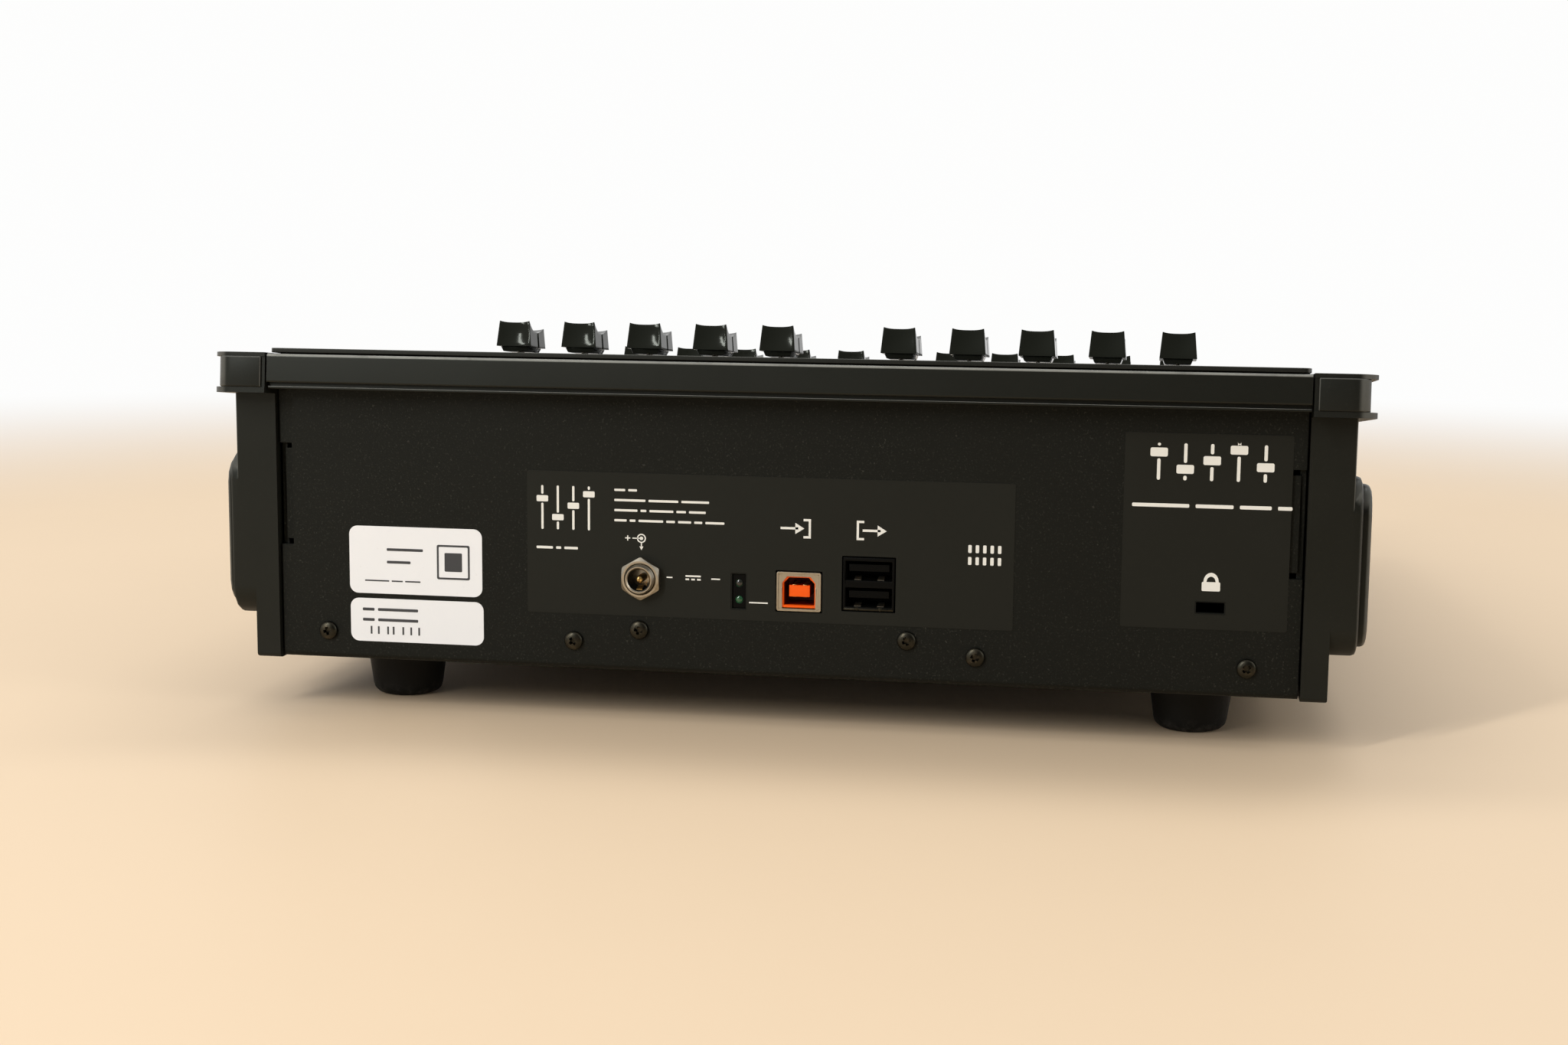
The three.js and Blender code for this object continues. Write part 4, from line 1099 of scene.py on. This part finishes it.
sockets = {
    "square": (7.3, 37.9),
    "tongue": (5.6, 3.1),
    "faceOpening": ((-4.5, -4.62), (4.5, -4.62), (4.5, 2.35), (3.2, 4.1), (-3.2, 4.1), (-4.5, 2.35)),
    "faceHalf": (5.42, 4.72),
    "stack": 26.1,
    "stackBottom": 33.4,
    "stackHalf": 6.6,
    "stackCells": (36.975, 44.125),
    "stackTongue": (10.9, 1.9),
    "stackTongueTop": 1.65,  # above the middle of its cell
    "bump": 3.1,  # from the middle of the stack to a bump or leaf
    "cageEdge": (8.4, 13.6),
    "ledColumn": -9.05,
    "ledHeights": (35.1, 39.6),
    "ledRadius": 1.05,
    "bezel": (-10.75, 32.85, -7.35, 41.95),
    "bezelHole": 1.1,
}


def squareContacts(values):
    x, z = values["square"]
    wide, tall = values["tongue"]
    parts = []
    for side in (-1, 1):
        for column in (-1, 1):
            cx, cz = x + column * wide / 4, z + side * (tall / 2 + 0.02)
            parts.append(smallBlock((cx - 0.55, cz - 0.1, -8), (cx + 0.55, cz + 0.1, -1.6), 0.06))
    return parts


def squareFace(values):
    # plated front of the shell round the mouth, with a spring leaf at each side
    x, z = values["square"]
    wide, tall = values["faceHalf"]
    opening = polygon([(x + a, z + b) for a, b in values["faceOpening"]])
    parts = [prism([rounded(x - wide, z - tall, x + wide, z + tall, 0.3), opening], -0.09 * mm, 0.3 * mm)]
    for side in (-1, 1):
        leaf = x + side * 4.66
        parts.append(smallBlock((leaf - 0.17, z - 2.2, 0.2), (leaf + 0.17, z + 1.2, 0.38), 0.07))
    return parts


def stackCage(values):
    # plated lip under the mouths, with two pressed bumps, and the cage's edge at one side
    x, low, half = values["stack"], values["stackBottom"], values["stackHalf"]
    edgeLow, edgeHigh = values["cageEdge"]
    parts = [smallBlock((x - half, low + 0.12, 0.05), (x + half, low + 0.62, 0.22), 0.05),
             smallBlock((x - half - 0.1, low + edgeLow, 0.05), (x - half + 0.05, low + edgeHigh, 0.16), 0.04)]
    for side in (-1, 1):
        bump = lathe([(0, 0.2 * mm), (0.55 * mm, 0.2 * mm), (0.42 * mm, 0.36 * mm), (0, 0.42 * mm)], 20)
        parts.append(moved(bump, ((x + side * values["bump"]) * mm, (low + 0.5) * mm, 0)))
    return parts


def stackContacts(values):
    parts = []
    wide, thick = values["stackTongue"]
    for cell in values["stackCells"]:
        under = cell + values["stackTongueTop"] - thick
        for i in range(4):
            x = values["stack"] + (i - 1.5) * wide / 4.4
            parts.append(smallBlock((x - 0.5, under - 0.12, -9), (x + 0.5, under + 0.06, -2.2), 0.05))
    return parts


def stackSprings(values):
    # plated leaves on the floor of each mouth, bowed up to hold a plug's shell
    parts = []
    for cell in values["stackCells"]:
        floor = cell - 2.6
        for side in (-1, 1):
            x = values["stack"] + side * values["bump"]
            for step in range(6):
                near, far = -0.9 - step * 0.9, -1.8 - step * 0.9
                lift = [0.14 + 0.55 * math.sin(math.pi * share) for share in (step / 6, (step + 1) / 6)]
                leaf = smallBlock((x - 0.9, floor, far), (x + 0.9, floor + 0.14, near), 0)
                for vertex in leaf.verts:
                    bow = lift[0] if vertex.co.z > (near + far) / 2 * mm else lift[1]
                    vertex.co.y += bow * mm - 0.1 * mm
                parts.append(leaf)
    return parts


def ledDome(values, z):
    radius = values["ledRadius"] * mm
    profile = [(0, -3 * mm), (radius, -3 * mm), (radius, -0.9 * mm)]
    for step in range(1, 7):
        angle = math.radians(90 * step / 6)
        reach = radius * math.cos(angle) if step < 6 else 0
        profile.append((reach, (-0.9 + 0.55 * math.sin(angle)) * mm))
    return moved(lathe(profile, 28), (values["ledColumn"] * mm, z * mm, 0))


contacts = squareContacts(sockets) + stackContacts(sockets)
fixedPiece("data_socket_contacts", contacts, "gold")
fixedPiece("flat_socket_springs", stackSprings(sockets), "nickel")
fixedPiece("square_socket_face", squareFace(sockets), "nickel")
fixedPiece("flat_socket_cage", stackCage(sockets), "screw")
bezelHoles = [disc(sockets["ledColumn"], height, sockets["bezelHole"]) for height in sockets["ledHeights"]]
bezel = prism([rounded(*sockets["bezel"], 0.3)] + bezelHoles, -0.78 * mm, -0.5 * mm)
fixedPiece("indicator_bezel", [bezel], "socket")
indicators = (("lower_indicator", "green"), ("upper_indicator", "unlit"))
for (name, finishName), height in zip(indicators, sockets["ledHeights"]):
    fixedPiece(name, [ledDome(sockets, height)], finishName, 40)
print("socket contacts and indicators made")


# Label plates, stickers and printed marks on the rear wall

labels = {
    "centre": (-67.8, 29.6, 64.5, 68.6),
    "right": (92.4, 32.0, 135.0, 83.0),
    "thick": 0.12 * mm,
    "corner": 0.6,
    "upperSticker": (-118.8, 33.0, -80.7, 51.8),
    "lowerSticker": (-118.7, 19.5, -80.4, 31.6),
    "stickerCorner": 2.4,
    "stickerThick": 0.1 * mm,
    "inkThick": 0.03 * mm,
    "holeGap": 0.35,
    "nutHole": 4.6,
    "openings": ((-10.9, 32.7, -7.2, 42.1), (1.3, 32.6, 13.3, 43.2), (19.2, 33.4, 33.0, 47.7)),
    "lockSlot": (111.8, 36.3, 119.0, 39.1),
}


def roundOpening(values, opening, corner):
    # the plate's hole, a little wider than what it goes round
    x0, y0, x1, y1 = opening
    gap = values["holeGap"]
    return rounded(x0 - gap, y0 - gap, x1 + gap, y1 + gap, corner)


def labelPlates(values):
    holes = [disc(*inlet["place"], values["nutHole"])]
    holes += [roundOpening(values, opening, 0.3) for opening in values["openings"]]
    centre = prism([rounded(*values["centre"], values["corner"])] + holes, 0, values["thick"])
    lockHole = roundOpening(values, values["lockSlot"], 0.2)
    right = prism([rounded(*values["right"], values["corner"]), lockHole], 0, values["thick"])
    return [centre, right]


def faderPictogram(x, y, width, height, handles, line):
    # upright tracks, each with a handle at its own height
    shapes = []
    for i, level in enumerate(handles):
        cx = x - width / 2 + width * i / (len(handles) - 1)
        cy = y - height / 2 + level * height
        wide, tall, gap = line * 2.6, line * 1.35, line * 0.6
        top, bottom = y + height / 2, y - height / 2
        shapes.append([rounded(cx - line / 2, bottom, cx + line / 2, cy - tall - gap, line / 2.1)])
        shapes.append([rounded(cx - line / 2, cy + tall + gap, cx + line / 2, top, line / 2.1)])
        shapes.append([rounded(cx - wide, cy - tall, cx + wide, cy + tall, line * 0.5)])
    return shapes


def dataArrow(x, y, outward):
    # an arrow into or out of a bracket
    side = 1 if outward else -1
    tip = x + 4.6 * side if outward else x + 1.6
    tail = tip - 6.4
    shapes = [[stroke(tail, y, tip - 1.6, y, 0.62)],
              [polygon([(tip - 2.4, y - 1.5), (tip, y), (tip - 2.4, y + 1.5)])]]
    edge = x - 3.4 * side
    inner, end = edge + 0.6 * side, edge + 2.0 * side
    shapes.append([polygon([(end, y - 2.6), (edge, y - 2.6), (edge, y + 2.6), (end, y + 2.6),
                            (end, y + 2.0), (inner, y + 2.0), (inner, y - 2.0), (end, y - 2.0)])])
    return shapes


def polarityMark(x, y):
    # centre-positive plug: plus, ring with a dot, and the line down from the ring
    ring = [disc(x, y, 1.25), disc(x, y, 0.92)]
    return [ring, [disc(x, y, 0.5)], [stroke(x - 2.5, y, x - 0.4, y, 0.3)],
            [stroke(x - 4.5, y, x - 3.1, y, 0.3)], [stroke(x - 3.8, y - 0.7, x - 3.8, y - 0.15, 0.3)],
            [stroke(x - 3.8, y + 0.15, x - 3.8, y + 0.7, 0.3)],
            [stroke(x, y - 1.2, x, y - 2.3, 0.3)],
            [polygon([(x - 0.55, y - 2.2), (x, y - 3.2), (x + 0.55, y - 2.2)])]]


def plainBars(x, y, lengths, tall, gap=1.0):
    # a line of plain bars
    shapes = []
    for length in lengths:
        shapes.append([rounded(x, y - tall / 2, x + length, y + tall / 2, tall * 0.3)])
        x += length + gap
    return shapes


def padlockMark(x, y):
    shackle = [[((x + r * math.cos(a)) * mm, (y + 0.3 + r * 1.25 * math.sin(a)) * mm)
                for a in [math.pi * i / 14 for i in range(15)]] for r in (1.95, 1.15)]
    loop = shackle[0] + shackle[1][::-1]
    return [[loop], [rounded(x - 2.35, y - 2.1, x + 2.35, y + 0.3, 0.35)]]


def directMark(x, y):
    # direct current: a line over three dashes
    return [[rounded(x - 2.1, y + 0.35, x + 2.1, y + 0.78)]] + [
        [rounded(x + a, y - 0.55, x + a + 1.0, y - 0.12)] for a in (-2.1, -0.5, 1.1)]


def centreMarks():
    marks = faderPictogram(-57.0, 58.6, 13.0, 12.0, (0.7, 0.28, 0.55, 0.82), 0.62)
    lines = ((3.0, 2.4), (8.6, 8.2, 7.6), (6.4, 1.6, 6.6, 2.6, 4.6), (3.4, 1.6, 6.8, 2.4, 3.6, 2.2, 5.2))
    for row, lengths in enumerate(lines):
        marks += plainBars(-43.4, 63.9 - 2.75 * row, lengths, 0.62, 0.85)
    marks += plainBars(-65.2, 47.6, (4.6, 1.4, 3.8), 0.68, 0.9)
    marks += polarityMark(-35.9, 50.9)
    marks.append([rounded(-28.9, 40.35, -27.3, 40.7)])
    marks += directMark(-21.6, 40.5)
    marks.append([rounded(-16.6, 40.3, -14.2, 40.65)])
    marks.append([rounded(-6.2, 34.3, -1.1, 34.65)])
    marks += dataArrow(7.0, 55.0, False) + dataArrow(26.1, 55.0, True)
    for column in range(5):
        for row in range(2):
            x, y = 52.4 + column * 1.95, 46.8 + row * 3.2
            marks.append([rounded(x, y, x + 0.9, y + 2.1, 0.25)])
    return marks


def rightMarks():
    marks = faderPictogram(114.6, 75.6, 27.0, 9.6, (0.75, 0.3, 0.55, 0.85, 0.4), 0.85)
    marks += plainBars(94.6, 64.2, (14.6, 9.6, 8.0, 3.6), 0.95, 1.6)
    return marks + padlockMark(115.4, 44.2)


def stickerMarks():
    marks = []
    marks += plainBars(-108.0, 45.4, (10.4,), 0.75)
    marks += plainBars(-108.0, 41.9, (6.8,), 0.75)
    marks += plainBars(-114.4, 36.6, (7.0, 3.2, 4.4), 0.4, 0.7)
    marks += plainBars(-115.2, 28.5, (3.4, 11.6), 0.8) + plainBars(-115.2, 25.6, (3.4, 11.6), 0.8)
    marks.append([rounded(-93.6, 37.6, -84.2, 47.2, 0.5), rounded(-93.05, 38.15, -84.75, 46.65, 0.3)])
    marks.append([rounded(-91.4, 39.8, -86.4, 45.0, 0.3)])
    for x in (-113.0, -110.9, -108.2, -106.6, -103.8, -101.5, -99.2):
        marks.append([rounded(x, 21.6, x + 0.5, 23.8)])
    return marks


def inked(name, shapes, matrix, lift, ink):
    parts = [prism(shape, lift, lift + labels["inkThick"]) for shape in shapes]
    return pieceOf(name, meshOf(name, parts, matrix), (ink,), "chassis")


for name, plate in zip(("centre_label_plate", "right_label_plate"), labelPlates(labels)):
    pieceOf(name, meshOf(name, [plate], wallMatrix), ("label",), "chassis")
for name in ("upperSticker", "lowerSticker"):
    sheet = prism([rounded(*labels[name], labels["stickerCorner"], 8)], 0, labels["stickerThick"])
    pieceName = "upper_sticker" if name == "upperSticker" else "lower_sticker"
    pieceOf(pieceName, meshOf(pieceName, [sheet], wallMatrix), ("sticker",), "chassis")
inked("centre_label_marks", centreMarks(), wallMatrix, labels["thick"], "print")
inked("right_label_marks", rightMarks(), wallMatrix, labels["thick"], "print")
inked("sticker_marks", stickerMarks(), wallMatrix, labels["stickerThick"], "rule")
print("label plates and marks made")


# Printed scales and numbers on the face plate

scales = {
    "tickReach": (2.6, 5.2),  # from the slot's middle
    "longTick": 6.4,
    "tickWidth": 0.22,
    "longWidth": 0.32,
    "ticks": 10,
    "numberSize": 3.0,
    "numberPlace": -47.6,  # between the key and the slot
    "lift": 0.004 * mm,
}


def scaleTicks(bank):
    shapes = []
    for number in columnNumbers:
        x = columnPlace(number) / mm
        for tick in range(scales["ticks"] + 1):
            y = deck["travelCentres"][bank] / mm - 30 + 60 * tick / scales["ticks"]
            long = tick % 5 == 0
            reach = scales["longTick"] if long else scales["tickReach"][1]
            half = (scales["longWidth"] if long else scales["tickWidth"]) / 2
            for side in (-1, 1):
                inner, outer = sorted((x + side * scales["tickReach"][0], x + side * reach))
                shapes.append([rounded(inner, y - half, outer, y + half)])
    return shapes


def numberPart(text, x, y, size):
    curve = bpy.data.curves.new("number", "FONT")
    curve.body, curve.size = text, size * mm
    curve.align_x, curve.align_y = "CENTER", "CENTER"
    curve.extrude = labels["inkThick"] / 2
    part = bodyOfCurve(curve, scales["lift"] + labels["inkThick"] / 2)
    return moved(part, (x * mm, y * mm, 0))


for bankIndex, bank in enumerate(bankNames):
    inked(f"{bank}_fader_scales", scaleTicks(bank), deckMatrix, scales["lift"], "print")
    parts = []
    for number in columnNumbers:
        label = str(number + 10 * bankIndex)
        y = deck["travelCentres"][bank] / mm + scales["numberPlace"]
        parts.append(numberPart(label, columnPlace(number) / mm, y, scales["numberSize"]))
    mesh = meshOf(f"{bank}_key_numbers", parts, deckMatrix)
    pieceOf(f"{bank}_key_numbers", mesh, ("print",), "chassis")
print("scales and numbers printed")


# Floor, light and camera

room = {
    "floor": rgb(0.78, 0.6, 0.41),
    "far": rgb(0.985, 0.985, 0.98),
    "nearEdge": 0.42,
    "farEdge": 1.15,
    "toneSize": 0.09,
    "floorRadius": 14,
    "worldLight": 0.58,
    "dimRange": (-0.2, 0.75),
    "dimDepth": (0.1, 0.8),
    "dimShare": 0.95,
    "keyPlace": (0.15, -0.35, 1.3),
    "keySize": (1.6, 0.3),
    "keyPower": 8.0,
    "leftPlace": (0.62, 1.14, 0.8),
    "leftSize": (0.08, 0.8),
    "leftPower": 9.5,
    "rightPlace": (-1.15, 0.45, 0.6),
    "rightSize": (0.4, 0.9),
    "rightPower": 2.5,
}


def seenDirectly(finish):
    # 1 where the camera, a gloss or a glass looks at the room
    rays = ("Is Camera Ray", "Is Glossy Ray", "Is Transmission Ray")
    camera, glossy, transmission = (finish.add("LightPath", output=ray) for ray in rays)
    return finish.add("Math", {"operation": "MINIMUM"}, {0: camera + glossy + transmission, 1: 1.0})


def mirroredShade(finish, x, y, values):
    # the part of the room that the rear wall mirrors is darker on one side
    oneSide = 1 - finish.between(x, *values["dimRange"])
    glossy = finish.add("LightPath", output="Is Glossy Ray")
    dim = glossy * finish.between(y, *values["dimDepth"]) * oneSide * values["dimShare"]
    return finish.blend(dim, values["far"], rgb(0, 0, 0))


def paleFloor(values):
    finish = Finish("pale floor")
    x, y = finish.along("X"), finish.along("Y")
    distance = finish.add("Math", {"operation": "SQRT"}, {0: x * x + y * y})
    aside, behind = (finish.add("Math", {"operation": "DIVIDE"}, {0: place, 1: distance}) for place in (x, y))
    away = finish.between(distance, values["nearEdge"], values["farEdge"])
    tone = finish.noise(values["toneSize"], 4.0, 0.55)
    darker = rgb(*(0.93 * c for c in values["floor"][:3]))
    near = finish.blend(tone * 0.35, values["floor"], darker)
    soft = {"Base Color": near, "Roughness": 0.55, "Specular IOR Level": 0.25}
    lit = finish.add("BsdfPrincipled", {}, soft)
    mirrored = mirroredShade(finish, aside, behind, values)
    bright = finish.add("Emission", {}, {"Color": mirrored, "Strength": 1.0})
    mixed = finish.add("MixShader", {}, {0: away * seenDirectly(finish), 1: lit, 2: bright})
    finish.add("OutputMaterial", {}, {"Surface": mixed})
    return finish.material


def studioWorld(values):
    world = bpy.data.worlds.new("studio")
    finish = Finish("studio", world)
    mirrored = mirroredShade(finish, finish.along("X"), finish.along("Y"), values)
    strength = values["worldLight"] + seenDirectly(finish) * (1.0 - values["worldLight"])
    background = finish.add("Background", {}, {"Color": mirrored, "Strength": strength})
    finish.add("OutputWorld", {}, {"Surface": background})
    bpy.context.scene.world = world


def softbox(name, place, size, power, target=(0, 0.05, 0.06)):
    light = bpy.data.lights.new(name, "AREA")
    light.shape = "RECTANGLE"
    light.size, light.size_y = size
    light.energy = power
    holder = bpy.data.objects.new(name, light)
    holder.location = place
    holder.rotation_mode = "QUATERNION"
    holder.rotation_quaternion = (Vector(target) - Vector(place)).to_track_quat("-Z", "Y")
    bpy.context.scene.collection.objects.link(holder)


floorPart = bmesh.new()
bmesh.ops.create_circle(floorPart, cap_ends=True, radius=room["floorRadius"], segments=96)
floor = bpy.data.objects.new("floor", meshOf("floor", [floorPart]))
floor.data.materials.append(paleFloor(room))
bpy.context.scene.collection.objects.link(floor)
studioWorld(room)
softbox("key", room["keyPlace"], room["keySize"], room["keyPower"])
softbox("leftFill", room["leftPlace"], room["leftSize"], room["leftPower"])
softbox("rightFill", room["rightPlace"], room["rightSize"], room["rightPower"])

photoCamera = {
    "lens": 50,
    "sensor": 36,
    "place": (-99.65 * mm, 743.14 * mm, 134.56 * mm),
    "turn": -9.655,
    "tilt": 7.725,
    "roll": 0.541,
}


def addCamera(values):
    turn, tilt, roll = (math.radians(values[name]) for name in ("turn", "tilt", "roll"))
    ahead = Vector((-math.sin(turn) * math.cos(tilt), -math.cos(turn) * math.cos(tilt), -math.sin(tilt)))
    level = Vector((-math.cos(turn), math.sin(turn), 0))
    upright = level.cross(ahead)
    right = math.cos(roll) * level + math.sin(roll) * upright
    up = math.cos(roll) * upright - math.sin(roll) * level
    lens = bpy.data.cameras.new("photoCamera")
    lens.lens, lens.sensor_width, lens.sensor_fit = values["lens"], values["sensor"], "HORIZONTAL"
    lens.clip_start, lens.clip_end = 0.01, 100
    camera = bpy.data.objects.new("photoCamera", lens)
    turned = Matrix((right, up, -ahead)).transposed().to_4x4()
    camera.matrix_world = Matrix.Translation(values["place"]) @ turned
    bpy.context.scene.collection.objects.link(camera)
    bpy.context.scene.camera = camera


addCamera(photoCamera)
bpy.context.scene.view_settings.view_transform = "Standard"
print("floor, light and camera set")

bpy.context.view_layer.update()
